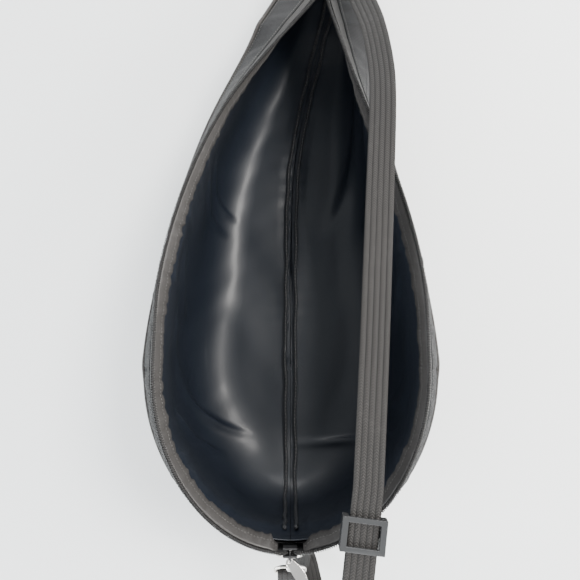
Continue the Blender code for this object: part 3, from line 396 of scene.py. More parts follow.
def grid_faces(rows, columns, wrap_rows=False, wrap_columns=False):
    """Four corners of every cell of a grid, as indices into its flattened points."""
    row = np.arange(rows if wrap_rows else rows - 1)[:, None] * columns
    column = np.arange(columns if wrap_columns else columns - 1)[None, :]
    next_row = (row + columns) % (rows * columns)
    next_column = (column + 1) % columns
    corners = [row + column, row + next_column, next_row + next_column, next_row + column]
    return np.stack(corners, -1).reshape(-1, 4)


def cloth_sheet(name, top, under, finish, cloth):
    """A closed sheet between two grids of points: both grids, and a wall round their border."""
    rows, columns = top.shape[:2]
    count = rows * columns
    index = np.arange(count).reshape(rows, columns)
    rim = np.concatenate([index[0], index[1:, -1], index[-1, -2::-1], index[-2:0:-1, 0]])
    follow = np.roll(rim, -1)
    face = grid_faces(rows, columns)
    wall = np.stack([follow, rim, rim + count, follow + count], -1)
    faces = np.concatenate([face, face[:, ::-1] + count, wall])
    points = np.concatenate([top.reshape(-1, 3), under.reshape(-1, 3)])
    lay = np.concatenate([cloth.reshape(-1, 3)] * 2)
    return solid(name, points, faces, finish, lay)


def catmull_rom(before, start, stop, after, t):
    """The Catmull-Rom cubic from start to stop, whose slopes come from the points on either side."""
    return 0.5 * (2 * start + (stop - before) * t + (2 * before - 5 * start + 4 * stop - after) * t ** 2
                  + (3 * start - before - 3 * stop + after) * t ** 3)


def run_along(points):
    """Distance along a line of points, from its first point."""
    return np.concatenate([[0], np.cumsum(np.linalg.norm(np.diff(points, axis=0), axis=-1))])


def resample(points, spacing, closed=False):
    """Points at even distances along a Catmull-Rom curve through a list of points."""
    points = np.asarray(points, float)
    if closed:
        padded = np.concatenate([points[-1:], points, points[:2]])
        end = points[:1]
    else:
        padded = np.concatenate([2 * points[:1] - points[1:2], points, 2 * points[-1:] - points[-2:-1]])
        end = points[-1:]
    t = np.linspace(0, 1, SPAN_STEPS + 1)[:-1, None, None]
    before, start, stop, after = (padded[None, i:len(padded) - 3 + i] for i in range(4))
    curve = catmull_rom(before, start, stop, after, t)
    curve = np.concatenate([curve.transpose(1, 0, 2).reshape(-1, points.shape[1]), end])
    run = run_along(curve[:, :3])
    even = np.linspace(0, run[-1], max(3, int(round(run[-1] / spacing)) + 1))
    result = np.stack([np.interp(even, run, curve[:, i]) for i in range(points.shape[1])], -1)
    return result[:-1] if closed else result


def frames_along(path, closed=False, first=(0, 0, 1)):
    """Two unit vectors square to a path at each point, carried along it without a twist."""
    if closed:
        heading = unit(np.roll(path, -1, 0) - np.roll(path, 1, 0))
    else:
        heading = unit(np.gradient(path, axis=0))
    side = np.cross(heading[0], first)
    side = side if np.linalg.norm(side) > 0.1 else np.cross(heading[0], (1, 0, 0))
    sides = [side / np.linalg.norm(side)]
    for ahead in heading[1:]:
        turned = sides[-1] - ahead * sides[-1].dot(ahead)
        sides.append(turned / np.linalg.norm(turned))
    sides = np.array(sides)
    return sides, np.cross(heading, sides)


def wire(name, path, radius, finish, closed=False, facets=14, spacing=None, even=True):
    """A round wire: a circle carried along a path; open ends close with a domed cap."""
    path = resample(path, spacing or radius * 0.5, closed) if even else np.asarray(path, float)
    side, up = frames_along(path, closed)
    angle = np.linspace(0, 2 * np.pi, facets, endpoint=False)
    sizes = np.full(len(path), radius)
    if not closed:
        heading = unit(np.gradient(path, axis=0))
        reach = radius * 0.5 * np.cos(DOME)[:, None]
        path = np.concatenate([path[:1] - heading[:1] * reach, path[1:-1],
                               path[-1:] + heading[-1:] * reach[::-1]])
        dome = radius * np.sin(DOME)
        sizes = np.concatenate([dome, sizes[1:-1], dome[::-1]])
        side = np.concatenate([side[:1]] * 3 + [side[1:-1]] + [side[-1:]] * 3)
        up = np.concatenate([up[:1]] * 3 + [up[1:-1]] + [up[-1:]] * 3)
    ring = side[:, None] * np.cos(angle)[:, None] + up[:, None] * np.sin(angle)[:, None]
    points = (path[:, None] + ring * sizes[:, None, None]).reshape(-1, 3)
    faces = grid_faces(len(path), facets, closed, True)
    lay = np.stack(np.broadcast_arrays(run_along(path)[:, None], angle * radius, 0.0), -1).reshape(-1, 3)
    if not closed:
        points = np.concatenate([points, path[:1], path[-1:]])
        lay = np.concatenate([lay, lay[:1], lay[-1:]])
        loop = np.arange(facets)
        follow = (loop + 1) % facets
        base = (len(path) - 1) * facets
        tips = np.full((2, facets), [[len(points) - 2], [len(points) - 1]])
        caps = [np.stack([tips[0], follow, loop], -1), np.stack([tips[1], base + loop, base + follow], -1)]
        faces = np.concatenate([faces[:, [0, 1, 2]], faces[:, [0, 2, 3]], *caps])
    return solid(name, points, faces, finish, lay, 60)


def turned(name, profile, finish, place, facets=28):
    """A turned piece: a profile of (radius, height) points carried round the local Z axis."""
    profile = np.asarray(profile, float)
    angle = np.linspace(0, 2 * np.pi, facets, endpoint=False)
    reach = profile[:, :1]
    points = np.stack(np.broadcast_arrays(reach * np.cos(angle), reach * np.sin(angle), profile[:, 1:]), -1)
    points = points.reshape(-1, 3)
    faces = grid_faces(len(profile), facets, profile[0, 0] > 0, True)
    return solid(name, moved(points, place), faces, finish, None, 30)


def moved(points, place):
    """Points carried from a placement's own axes into the frame."""
    turn = np.array(place.to_3x3())
    return np.asarray(points, float) @ turn.T + np.array(place.translation)


def join(name, pieces):
    """One piece out of several, with their meshes joined end to end."""
    bpy.ops.object.select_all(action="DESELECT")
    for piece in pieces:
        piece.select_set(True)
    bpy.context.view_layer.objects.active = pieces[0]
    bpy.ops.object.join()
    pieces[0].name = name
    return pieces[0]


def stitches(name, path, out, pitch, width):
    """A row of stitches: at each pitch, a thread that rises in the middle and dips at both ends."""
    path = np.asarray(path, float)
    run = run_along(path)
    starts = np.arange(0.3 * pitch, run[-1] - pitch, pitch)
    t = np.array([0.0, 0.18, 0.5, 0.82, 1.0])
    rise = np.array([-0.25, 0.5, 0.75, 0.5, -0.25]) * width
    size = np.array([0.25, 0.85, 1.0, 0.85, 0.25]) * width / 2
    at = starts[:, None] + t * pitch * STITCH_SHARE
    centre = np.stack([np.interp(at, run, path[:, i]) for i in range(3)], -1)
    normal = unit(np.stack([np.interp(at, run, out[:, i]) for i in range(3)], -1))
    heading = unit(np.gradient(centre, axis=1))
    side = unit(np.cross(heading, normal))
    angle = np.linspace(0, 2 * np.pi, 6, endpoint=False)
    ring = side[:, :, None] * np.cos(angle)[:, None] + normal[:, :, None] * np.sin(angle)[:, None]
    points = centre[:, :, None] + normal[:, :, None] * rise[:, None, None] + ring * size[:, None, None]
    rings, facets = len(t), len(angle)
    last = (rings - 1) * facets
    cap = np.array([[0, 1, 2, 3], [0, 3, 4, 5]])
    one = np.concatenate([grid_faces(rings, facets, False, True), cap, last + cap[:, ::-1]])
    faces = (one[None] + rings * facets * np.arange(len(starts))[:, None, None]).reshape(-1, 4)
    return solid(name, points.reshape(-1, 3), faces, FINISHES["thread"], None, 70)


# ---------------------------------------------------------------- shared effects and finishes

def new_group(name, inputs, outputs):
    """An empty node group with named inputs (type, default) and outputs (type)."""
    tree = bpy.data.node_groups.new(name, "ShaderNodeTree")
    for label, kind, value in inputs:
        socket = tree.interface.new_socket(label, in_out="INPUT", socket_type=kind)
        if value is not None:
            socket.default_value = value
    for label, kind in outputs:
        tree.interface.new_socket(label, in_out="OUTPUT", socket_type=kind)
    return tree, tree.nodes.new("NodeGroupInput"), tree.nodes.new("NodeGroupOutput")


def put(tree, kind, inputs=None, **settings):
    """A node with its settings and inputs; an input is a value or another node's output."""
    node = tree.nodes.new(kind)
    for key, value in settings.items():
        setattr(node, key, value)
    for key, value in (inputs or {}).items():
        if isinstance(value, bpy.types.NodeSocket):
            tree.links.new(value, node.inputs[key])
        else:
            node.inputs[key].default_value = value
    return node


def maths(tree, operation, first, second=0.0, third=0.0):
    """The output of a math node."""
    return put(tree, "ShaderNodeMath", {0: first, 1: second, 2: third}, operation=operation).outputs[0]


def mixed(tree, share, first, second):
    """The output of a colour mix node; each colour is a value or another node's output."""
    return put(tree, "ShaderNodeMix", {0: share, 6: first, 7: second}, data_type="RGBA").outputs[2]


def weave_group():
    """A plain weave: warp and weft as sines of the cloth coordinates, whose product is a chessboard."""
    tree, given, result = new_group(
        "woven threads",
        [("Vector", "NodeSocketVector", None), ("Pitch", "NodeSocketFloat", 0.0006),
         ("Slant", "NodeSocketFloat", 0.0)],
        [("Height", "NodeSocketFloat"), ("Shade", "NodeSocketFloat")])
    split = put(tree, "ShaderNodeSeparateXYZ", {0: given.outputs["Vector"]})
    rate = maths(tree, "DIVIDE", 2 * np.pi, given.outputs["Pitch"])
    across = maths(tree, "MULTIPLY_ADD", split.outputs[1], given.outputs["Slant"], split.outputs[0])
    warp = maths(tree, "SINE", maths(tree, "MULTIPLY", across, rate))
    weft = maths(tree, "SINE", maths(tree, "MULTIPLY", split.outputs[1], rate))
    over = maths(tree, "MULTIPLY", warp, weft)
    height = maths(tree, "MULTIPLY_ADD", over, 0.5, 0.5)
    fuzz = put(tree, "ShaderNodeTexNoise", {"Vector": given.outputs["Vector"], "Scale": 420.0, "Detail": 3.0})
    shade = maths(tree, "MULTIPLY_ADD", height, 0.5, maths(tree, "MULTIPLY", fuzz.outputs[0], 0.5))
    tree.links.new(height, result.inputs["Height"])
    tree.links.new(shade, result.inputs["Shade"])
    return tree


def webbing_group():
    """Ribbed webbing: a groove at each multiple of the rib width, and chevron picks between the grooves.

    With a the distance from the rib's middle, the groove is a high power of a, and the picks are a sine
    of the distance along the strap plus a multiple of a."""
    tree, given, result = new_group(
        "ribbed webbing",
        [("Vector", "NodeSocketVector", None), ("Rib width", "NodeSocketFloat", 0.005),
         ("Pick pitch", "NodeSocketFloat", 0.0022)],
        [("Height", "NodeSocketFloat"), ("Shade", "NodeSocketFloat")])
    split = put(tree, "ShaderNodeSeparateXYZ", {0: given.outputs["Vector"]})
    ribs = maths(tree, "DIVIDE", split.outputs[1], given.outputs["Rib width"])
    ribs = maths(tree, "ADD", ribs, 40.5)
    middle = maths(tree, "SUBTRACT", maths(tree, "FRACT", ribs), 0.5)
    off = maths(tree, "MULTIPLY", maths(tree, "ABSOLUTE", middle), 2.0)
    land = maths(tree, "SUBTRACT", 1.0, maths(tree, "POWER", off, 5.0))
    run = maths(tree, "DIVIDE", split.outputs[0], given.outputs["Pick pitch"])
    picks = maths(tree, "SINE", maths(tree, "MULTIPLY", maths(tree, "ADD", run, off), 2 * np.pi))
    raised = maths(tree, "MULTIPLY_ADD", picks, 0.5, 0.5)
    height = maths(tree, "MULTIPLY", land, maths(tree, "MULTIPLY_ADD", raised, 0.6, 0.4))
    fuzz = put(tree, "ShaderNodeTexNoise", {"Vector": given.outputs["Vector"], "Scale": 700.0, "Detail": 3.0})
    # Painted shade: the colour follows the height, so the grooves and the low picks are painted darker
    shade = maths(tree, "MULTIPLY", height, maths(tree, "MULTIPLY_ADD", fuzz.outputs[0], 0.9, 0.5))
    tree.links.new(height, result.inputs["Height"])
    tree.links.new(shade, result.inputs["Shade"])
    return tree


def wear_group():
    """Use marks: broad cloudy soiling, and small scuffs where two noises are both high."""
    tree, given, result = new_group(
        "soiling and scuffs",
        [("Vector", "NodeSocketVector", None), ("Cloud size", "NodeSocketFloat", 9.0),
         ("Scuff size", "NodeSocketFloat", 140.0)],
        [("Cloud", "NodeSocketFloat"), ("Scuff", "NodeSocketFloat")])
    place = given.outputs["Vector"]
    cloud = put(tree, "ShaderNodeTexNoise", {"Vector": place, "Scale": given.outputs["Cloud size"],
                                             "Detail": 5.0, "Roughness": 0.6})
    fine = put(tree, "ShaderNodeTexNoise", {"Vector": place, "Scale": given.outputs["Scuff size"],
                                            "Detail": 6.0, "Roughness": 0.7})
    both = maths(tree, "MULTIPLY", cloud.outputs[0], fine.outputs[0])
    mask = put(tree, "ShaderNodeMapRange", {"Value": both, "From Min": 0.30, "From Max": 0.42})
    tree.links.new(cloud.outputs[0], result.inputs["Cloud"])
    tree.links.new(mask.outputs[0], result.inputs["Scuff"])
    return tree


def finish(name, dark, light, roughness, weave=None, slant=0.0, relief=0.3, relief_depth=0.0002, metallic=0.0,
           coat=0.0, sheen=0.0, on_cloth=True, scuff=0.10, specular=0.22, grain=None, threads="weave"):
    """A material: two colours mixed by the weave and the soiling, uneven gloss and a raised weave."""
    item = bpy.data.materials.new("bag " + name)
    item.use_nodes = True
    tree = item.node_tree
    shader = tree.nodes["Principled BSDF"]
    place = put(tree, "ShaderNodeTexCoord").outputs["Object"]
    cloth = place
    if on_cloth:
        cloth = put(tree, "ShaderNodeAttribute", attribute_name="cloth").outputs["Vector"]
    wear = put(tree, "ShaderNodeGroup", node_tree=GROUPS["wear"])
    tree.links.new(place, wear.inputs["Vector"])
    if weave:
        cell = put(tree, "ShaderNodeGroup", node_tree=GROUPS[threads])
        tree.links.new(cloth, cell.inputs["Vector"])
        cell.inputs[1].default_value = weave
        cell.inputs[2].default_value = slant
        height, shade = cell.outputs["Height"], cell.outputs["Shade"]
    else:
        noise = put(tree, "ShaderNodeTexNoise", {"Vector": place, "Scale": grain or 900.0, "Detail": 4.0})
        height, shade = noise.outputs[0], noise.outputs[0]
    soiling = maths(tree, "MULTIPLY", wear.outputs["Cloud"], 0.35)
    # The webbing's shade output paints its grooves and low picks darker (painted shade); the soiling cloud
    # adds dirt
    tone = maths(tree, "ADD", maths(tree, "MULTIPLY", shade, 0.7), soiling)
    colour = mixed(tree, tone, (*dark, 1), (*light, 1))
    scuffed = [min(1, 2.2 * value + 0.03) for value in light]
    colour = mixed(tree, maths(tree, "MULTIPLY", wear.outputs["Scuff"], scuff), colour, (*scuffed, 1))
    tree.links.new(colour, shader.inputs["Base Color"])
    rough = maths(tree, "MULTIPLY_ADD", wear.outputs["Cloud"], 0.25, roughness - 0.12)
    tree.links.new(rough, shader.inputs["Roughness"])
    bump = put(tree, "ShaderNodeBump", {"Height": height, "Strength": relief, "Distance": relief_depth})
    tree.links.new(bump.outputs[0], shader.inputs["Normal"])
    for key, value in (("Metallic", metallic), ("Coat Weight", coat), ("Coat Roughness", 0.25),
                       ("Sheen Weight", sheen), ("Sheen Roughness", 0.5), ("Specular IOR Level", specular)):
        shader.inputs[key].default_value = value
    return item


GROUPS = {}
FINISHES = {}


def add_stripe(item, colours):
    """A two-tone stripe below the piping, laid out by the cloth coordinates along and below the seam."""
    tree = item.node_tree
    shader = tree.nodes["Principled BSDF"]
    cloth = put(tree, "ShaderNodeAttribute", attribute_name="cloth").outputs["Vector"]
    split = put(tree, "ShaderNodeSeparateXYZ", {0: cloth})
    along = put(tree, "ShaderNodeMapRange", {"Value": split.outputs[0], "From Min": STRIPE_START,
                                             "From Max": STRIPE_START + 0.004}).outputs[0]
    worn = shader.inputs["Base Color"].links[0].from_socket
    for (low, high), colour in zip(STRIPE_BANDS, colours):
        inside = maths(tree, "MULTIPLY", maths(tree, "GREATER_THAN", split.outputs[1], low),
                       maths(tree, "LESS_THAN", split.outputs[1], high))
        worn = mixed(tree, maths(tree, "MULTIPLY", inside, along), worn, (*colour, 1))
    tree.links.new(worn, shader.inputs["Base Color"])


def make_finishes(cloth):
    """All the finishes of the bag, from the panel's colours."""
    GROUPS["weave"] = weave_group()
    GROUPS["webbing"] = webbing_group()
    GROUPS["wear"] = wear_group()
    canvas = np.array(cloth.canvas_colour)
    inside = np.array(cloth.lining_colour)
    web = np.array(cloth.webbing_colour)
    flat = {"on_cloth": False}
    canvas_look = (canvas * 0.7, canvas * 1.5, 0.70, 0.0011, 0.0, 0.55, 0.0003)
    # Dark colour, light colour and roughness; then the weave's pitch, slant, relief and depth
    table = {
        "canvas": (*canvas_look, {"sheen": 0.01}),
        "striped canvas": (*canvas_look, {"sheen": 0.01}),
        "twill": (canvas * 0.6, canvas * 2.2, 0.62, 0.0018, 1.0, 0.8, 0.0004, {"sheen": 0.01}),
        "lining": (inside * 0.7, inside * 1.6, 0.52, 0.0016, 0.0, 0.12, 0.0001,
                   {"coat": 0.16, "specular": 0.5, "scuff": 0.05}),
        "piping": ((0.012, 0.011, 0.011), (0.050, 0.046, 0.044), 0.55, 0.0016, 1.0, 0.7, 0.0003, {}),
        "tape": ((0.014, 0.014, 0.014), (0.052, 0.050, 0.049), 0.65, 0.0009, 0.5, 0.6, 0.0002, {}),
        "coil": ((0.010, 0.010, 0.010), (0.030, 0.029, 0.029), 0.30, {"grain": 1400.0, "relief": 0.1}),
        "binding": ((0.018, 0.017, 0.0165), (0.060, 0.057, 0.055), 0.45, 0.0012, 0.0, 0.5, 0.0002,
                    {"coat": 0.15}),
        "rib": ((0.012, 0.013, 0.015), (0.048, 0.050, 0.054), 0.42, 0.0010, 1.0, 0.5, 0.0002, {"coat": 0.2}),
        "webbing": (web * 0.03, web * 1.5, 0.60, 0.005, 0.0024, 1.0, 0.0005, {"threads": "webbing"}),
        "thread": ((0.05, 0.048, 0.047), (0.13, 0.127, 0.122), 0.55, flat),
        "buckle": ((0.030, 0.031, 0.032), (0.060, 0.061, 0.063), 0.26,
                   flat | {"metallic": 0.3, "relief": 0.08, "grain": 1800.0, "coat": 0.3, "specular": 0.5}),
        "nickel": ((0.56, 0.54, 0.50), (0.80, 0.78, 0.74), 0.24,
                   flat | {"metallic": 1.0, "relief": 0.06, "grain": 2400.0, "scuff": 0.3}),
        "black metal": ((0.018, 0.018, 0.019), (0.06, 0.06, 0.062), 0.36,
                        flat | {"metallic": 0.5, "relief": 0.1, "grain": 1500.0, "scuff": 0.5}),
    }
    for name, (*values, options) in table.items():
        FINISHES[name] = finish(name, *values, **options)
    add_stripe(FINISHES["striped canvas"], [cloth.stripe_colour, (0.75, 0.72, 0.70)])


# ---------------------------------------------------------------- the shell's pieces

# Rows and columns of the large sheets
PANEL_GRID = (90, 260)
LINING_GRID = (150, 330)
HEM_GRID = (26, 620)
LINING_START = 0.0004
SOFTENING_ROUNDS = 60
# Relief of the outer panels: the crown between the seams, and the puckers, dents and creases on it
CROWN = 0.0022
CROWN_REACH = 0.030
EDGE_TUCK = 0.0008
PUCKER, PUCKER_PITCH, PUCKER_REACH = 0.0010, 0.013, 0.016
DENT, DENT_PITCH = 0.0016, 0.110
CREASE, CREASE_PITCH = 0.0011, 0.090
# Relief of the lining: the slack, the fan of folds at the hem, the billows and the seam's puckers
SLACK = 0.0030
FAN, FAN_PITCH = 0.0022, 0.030
BILLOW, BILLOW_PITCH = 0.0015, 0.130
RUMPLE, RUMPLE_PITCH = 0.0003, 0.050
SEAM_PUCKER, SEAM_PUCKER_PITCH, SEAM_PUCKER_REACH = 0.0006, 0.014, 0.012
# Pitch and thickness of the stitches in each kind of row
PANEL_STITCH = (0.0042, 0.0007)
STRIP_STITCH = (0.0036, 0.0007)
HEM_STITCH = (0.0032, 0.0006)
RIB_STITCH = (0.0048, 0.0008)
STITCH_INSET = 0.0055
HEM_HEIGHT = 0.0285
HEM_TOP = 0.0385
HEM_DROP = 0.0135
COIL_PITCH = 0.0021
COIL_STEP = 0.00018


def place_on(piece, body, *nodes):
    """Rides a piece on a body, in place of some CAD nodes."""
    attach(piece, body)
    if nodes:
        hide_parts(*nodes)
    return piece


def cloth_piece(name, face, back, look, lay, *nodes):
    """A sheet that rides on the bag, in place of the CAD node of its own name and of any others."""
    return place_on(cloth_sheet(name, face, back, FINISHES[look], lay), "bag", name, *nodes)


def cloth_lay(q, arc):
    """Cloth coordinates in metres: along the shell, up the section."""
    return np.stack(np.broadcast_arrays(q * END_ARC, arc, 0.0), -1)


def softened(grid, q):
    """Rounds the turn where the round end meets the straight side: repeated averages of neighbours there."""
    weight = (0.5 * (1 - smooth(np.abs(q - 1), 0.05, 0.22)))[:, 1:-1, None]
    for _ in range(SOFTENING_ROUNDS):
        inner = grid[:, 1:-1]
        inner = inner + weight * ((grid[:, 2:] + grid[:, :-2]) / 2 - inner)
        grid = np.concatenate([grid[:, :1], inner, grid[:, -1:]], 1)
    return grid


def outer_panel(side, name, cloth):
    """A padded face panel: canvas crowned between its seams, drawn in at the edges, over flat foam.

    Relief = soft crown + shallow dents + puckers along the four seams, whose size falls with distance."""
    rows, columns = PANEL_GRID
    share = np.linspace(0, 1, rows)
    share = share - 0.012 * np.sin(2 * np.pi * share)
    first = station_at(seam_half_width(share) + INSET, lambda q: wall_arc(share, q, INSET))
    last = Q_END - (2 * PIPING_RADIUS + SEAM_CLEARANCE) / END_ARC
    t = np.linspace(0, 1, columns)
    q = first[:, None] + (last - first)[:, None] * t
    arc = wall_arc(share[:, None], q, INSET)
    place = shell(side, q, arc, 0.0)
    low = arc - SPINE_HALF_WIDTH - INSET
    high = sections(q)["wall"] - INSET - arc
    nose = (q - first[:, None]) * END_ARC
    tail = (last - q) * END_ARC
    edge = np.minimum(np.minimum(low, high), np.minimum(nose, tail))
    crown = CROWN * smooth(edge, 0.0, CROWN_REACH) - EDGE_TUCK
    pucker = PUCKER * np.exp(-edge / PUCKER_REACH) * smooth(edge, 0.0, 0.003)
    pucker = pucker * waves(place, PUCKER_PITCH, 21 + side)
    dents = waves(place, DENT_PITCH, 5 + side) * DENT + creases(place, CREASE_PITCH, 13 + side) * CREASE
    relief = crown + cloth.outer_relief * (pucker + dents * smooth(edge, 0.004, 0.040))
    top = shell(side, q, arc, -relief)
    top[..., 2] = np.maximum(top[..., 2], 0.0)
    under = shell(side, q, arc, FOAM_END)
    look = "striped canvas" if side > 0 else "canvas"
    piece = cloth_piece(name + "_outer_panel", top, under, look, cloth_lay(q, high), name + "_foam_pad")
    out = outward_at(side, q, arc)
    lines = []
    for distance in (high, low):
        row = int(np.median(np.argmin(np.abs(distance - STITCH_INSET), axis=0)))
        lines.append(stitches("seam", top[row], out[row], *PANEL_STITCH))
    place_on(join(name + "_panel_topstitch", lines), "bag")


def lining(side, name, cloth):
    """The coated lining of one side: slack cloth with raised folds, billows and seam puckers.

    Depth below the shell = layer depth + slack towards the hem + folds, billow and fan + puckers."""
    rows, columns = LINING_GRID
    share = np.linspace(0, 1, rows)
    start = LINING_START
    first = station_at(np.full(rows, CLEARANCE), lambda q: start + share * (sections(q)["wall"] - start))
    t = np.linspace(0, 1, columns)
    q = first[:, None] + (Q_END - 0.02 - first)[:, None] * t
    here = sections(q)
    beyond_mouth = smooth(q, Q_MOUTH - 0.14, Q_MOUTH - 0.05)
    top = here["wall"] + HEM_HEIGHT * here["strip"] / STRIP_WIDTH * (1 - beyond_mouth) - 0.012 * beyond_mouth
    arc = start + share[:, None] * (top - start)
    place = shell(side, q, arc, 0.0)
    along = place[..., 1] - FRONT_Y
    slack = SLACK * smooth(arc / here["wall"], 0.62, 0.97) * (1 - smooth(along, 0.52, 0.60))
    floor_ease = smooth(arc, 0.004, 0.022)
    table = LEFT_FOLDS if side < 0 else RIGHT_FOLDS
    big = folds(along, arc, table)
    near_hem = smooth(arc / here["wall"], 0.70, 0.95)
    fan = waves(np.stack([q * END_ARC + 0.10 * side * arc, 0.10 * arc], -1), FAN_PITCH, 31 + side, 5)
    radiating = soft_maximum(fan, 0.0, 0.5) * FAN * near_hem
    billow = waves(place, BILLOW_PITCH, 41 + side) * BILLOW + waves(place, RUMPLE_PITCH, 57 + side) * RUMPLE
    seam = np.exp(-arc / SEAM_PUCKER_REACH) * ripples(q, arc, 0, SEAM_PUCKER_PITCH, 77, 4) * SEAM_PUCKER
    flat_rim = 1 - smooth(arc / here["wall"], 0.94, 1.04)
    slack = slack * flat_rim
    radiating = radiating * (1 - smooth(along, 0.56, 0.60))
    relief = cloth.lining_relief * floor_ease * flat_rim * (big + billow + radiating)
    relief = relief * (1 - 0.75 * smooth(along, 0.50, 0.62))
    depth = LINING_DEPTH + LINING + slack * 0.8 + relief + seam * smooth(arc, 0.001, 0.004) + 0.0004
    face = softened(shell(side, q, arc, depth), q)
    back = softened(shell(side, q, arc, depth - LINING), q)
    piece = cloth_piece(name + "_lining", face, back, "lining", cloth_lay(q, arc), name + "_mouth_facing")


def band_grid(side, above, lateral, last, columns, depth):
    """Rows of points along the zip side at heights above the piped seam; depth may vary over the grid."""
    above = np.asarray(above, float)
    lateral = np.broadcast_to(np.asarray(lateral, float), above.shape)
    first = station_at(lateral, lambda q: strip_arc(above, q))
    t = np.linspace(0, 1, columns)
    q = first[:, None] + (last - first)[:, None] * t
    arc = strip_arc(above[:, None], q)
    if callable(depth):
        depth = depth(q, arc)
    return shell(side, q, arc, depth), q, arc


def gusset_strip(side, name, cloth):
    """The zip-side strip: twill with a faint crown and puckers, stepped back beside the closed zip."""
    top = STRIP_WIDTH - TAPE_WIDTH - 0.0008
    step_row = STRIP_WIDTH - CLOSED_ZIP_LENGTH - 0.006
    low_rows = np.linspace(INSET, step_row, 14)
    high_rows = np.linspace(step_row + 0.001, top, 18)
    above = np.concatenate([low_rows, high_rows])
    lateral = np.where(above > step_row, 2 * COIL_SPACING, CLEARANCE)

    def relief(q, arc):
        crown = np.sin(np.pi * (above[:, None] - INSET) / (top - INSET))
        ripple = ripples(q, arc, 0.3, 0.020, 91 + side, 5)
        return -cloth.outer_relief * crown * (0.0010 + 0.0007 * ripple)

    face, q, arc = band_grid(side, above, lateral, Q_MOUTH, 420, relief)
    back = shell(side, q, arc, STRIP)
    cloth_piece(name + "_gusset_strip", face, back, "twill", cloth_lay(q, arc))
    lines = []
    for height, row_lateral in ((INSET + 0.0022, 0.0015), (top - 0.0016, 0.0085)):
        line, q, arc = band_grid(side, [height, height + 0.0001], row_lateral, Q_MOUTH - 0.01, 700, -0.0006)
        out = outward_at(side, q, arc)
        lines.append(stitches("seam", line[0], out[0], *STRIP_STITCH))
    place_on(join(name + "_strip_topstitch", lines), "bag")


def zip_tape(side, name):
    """The woven tape that carries the coil, between the strip and the lip."""
    above = np.linspace(STRIP_WIDTH - TAPE_WIDTH, STRIP_WIDTH - 0.0013, 8)

    def wave(q, arc):
        return 0.0004 + 0.00012 * ripples(q, arc, 0, 0.011, 101 + side, 5)

    face, q, arc = band_grid(side, above, 0.011, Q_MOUTH, 420, wave)
    back = shell(side, q, arc, 0.0004 + 0.0008)
    cloth_piece(name + "_zip_tape", face, back, "tape", cloth_lay(q, arc))


def mouth_binding(side, name, cloth):
    """The gathered hem inside the zip: a soft roll from behind the tape down into the mouth.

    Its profile leans inwards with a rounded lower edge; puckers run across it, deepest at that edge."""
    rows, columns = HEM_GRID
    t = np.linspace(0, 1, rows)
    above = HEM_TOP - HEM_DROP * t

    def hang(q, arc):
        gather = ripples(q, arc, 0, 0.0080, 111 + side, 6) * 0.00055
        gather = gather + ripples(q, arc, 0, 0.035, 121 + side, 4) * 0.0006
        lean = 0.0030 + 0.0086 * np.sin(t[:, None] * np.pi / 2) ** 0.9
        crown = 0.0008 * np.sin(np.pi * t[:, None])
        ends = smooth(q, q.min() - 1e-6, q.min() + 0.05)
        ends = ends * (1 - smooth(q, Q_MOUTH - 0.30, Q_MOUTH - 0.06) * 0.65)
        return lean * (0.45 + 0.55 * ends) + crown + cloth.lining_relief * gather * t[:, None] ** 0.6 * ends

    face, q, arc = band_grid(side, above, 0.012, Q_MOUTH - 0.05, columns, hang)
    depth = hang(q, arc)
    back = shell(side, q, arc, depth - 0.0010)
    cloth_piece(name + "_mouth_binding", face, back, "binding", cloth_lay(q, arc))
    row = rows // 3
    out = -outward_at(side, q, arc)
    place_on(stitches(name + "_hem_stitch", face[row], out[row], *HEM_STITCH), "bag")


def piping(side, name):
    """The corded seam round the face panel: one closed loop, with the cloth cover's twill on it."""
    flush = PIPING_RADIUS + CLEARANCE
    proud = 0.0008
    last = Q_END - flush / END_ARC
    first = first_station(END_SEAM_HALF_WIDTH + CORNER_FLARE, 0.0)
    q = np.linspace(first, last, 60)
    parts = [shell(side, q, strip_arc(0.0, q), proud)]
    share = np.linspace(1, 0, 14)[1:-1]
    q = np.full(12, last)
    parts.append(shell(side, q, wall_arc(share, q), flush + (proud - flush) * share))
    q = np.linspace(last, 1.01, 40)
    parts.append(shell(side, q, np.full(40, SPINE_HALF_WIDTH), flush))
    share = np.linspace(0, 1, 30)[1:-1]
    q = station_at(seam_half_width(share), lambda q: wall_arc(share, q))
    parts.append(shell(side, q, wall_arc(share, q), flush + (proud - flush) * share))
    loop = np.concatenate(parts)
    piece = wire(name + "_piping", loop, PIPING_RADIUS, FINISHES["piping"], True, 14, 0.0022)
    place_on(piece, "bag", name + "_piping")


def coil_line(side):
    """The zip's centre line: up the closed stretch in the middle, then round the lip to the end."""
    above = STRIP_WIDTH - CLOSED_ZIP_LENGTH + (CLOSED_ZIP_LENGTH - 0.005) * np.linspace(0, 1, 6)
    q = station_at(np.full(6, COIL_SPACING), lambda q: strip_arc(above, q))
    arc = sections(np.zeros(6))["wall"] + above
    closed = shell(side, q, arc, COIL_DEPTH)
    outward = outward_at(side, q, arc)
    reach = STRIP_WIDTH + COIL_RADIUS - 0.0005
    first = first_station(ZIP_LANE, reach)
    q = np.linspace(first, Q_MOUTH, 240)
    arc = strip_arc(reach, q)
    opened = shell(side, q, arc, COIL_DEPTH)
    return np.concatenate([closed, opened]), np.concatenate([outward, outward_at(side, q, arc)])


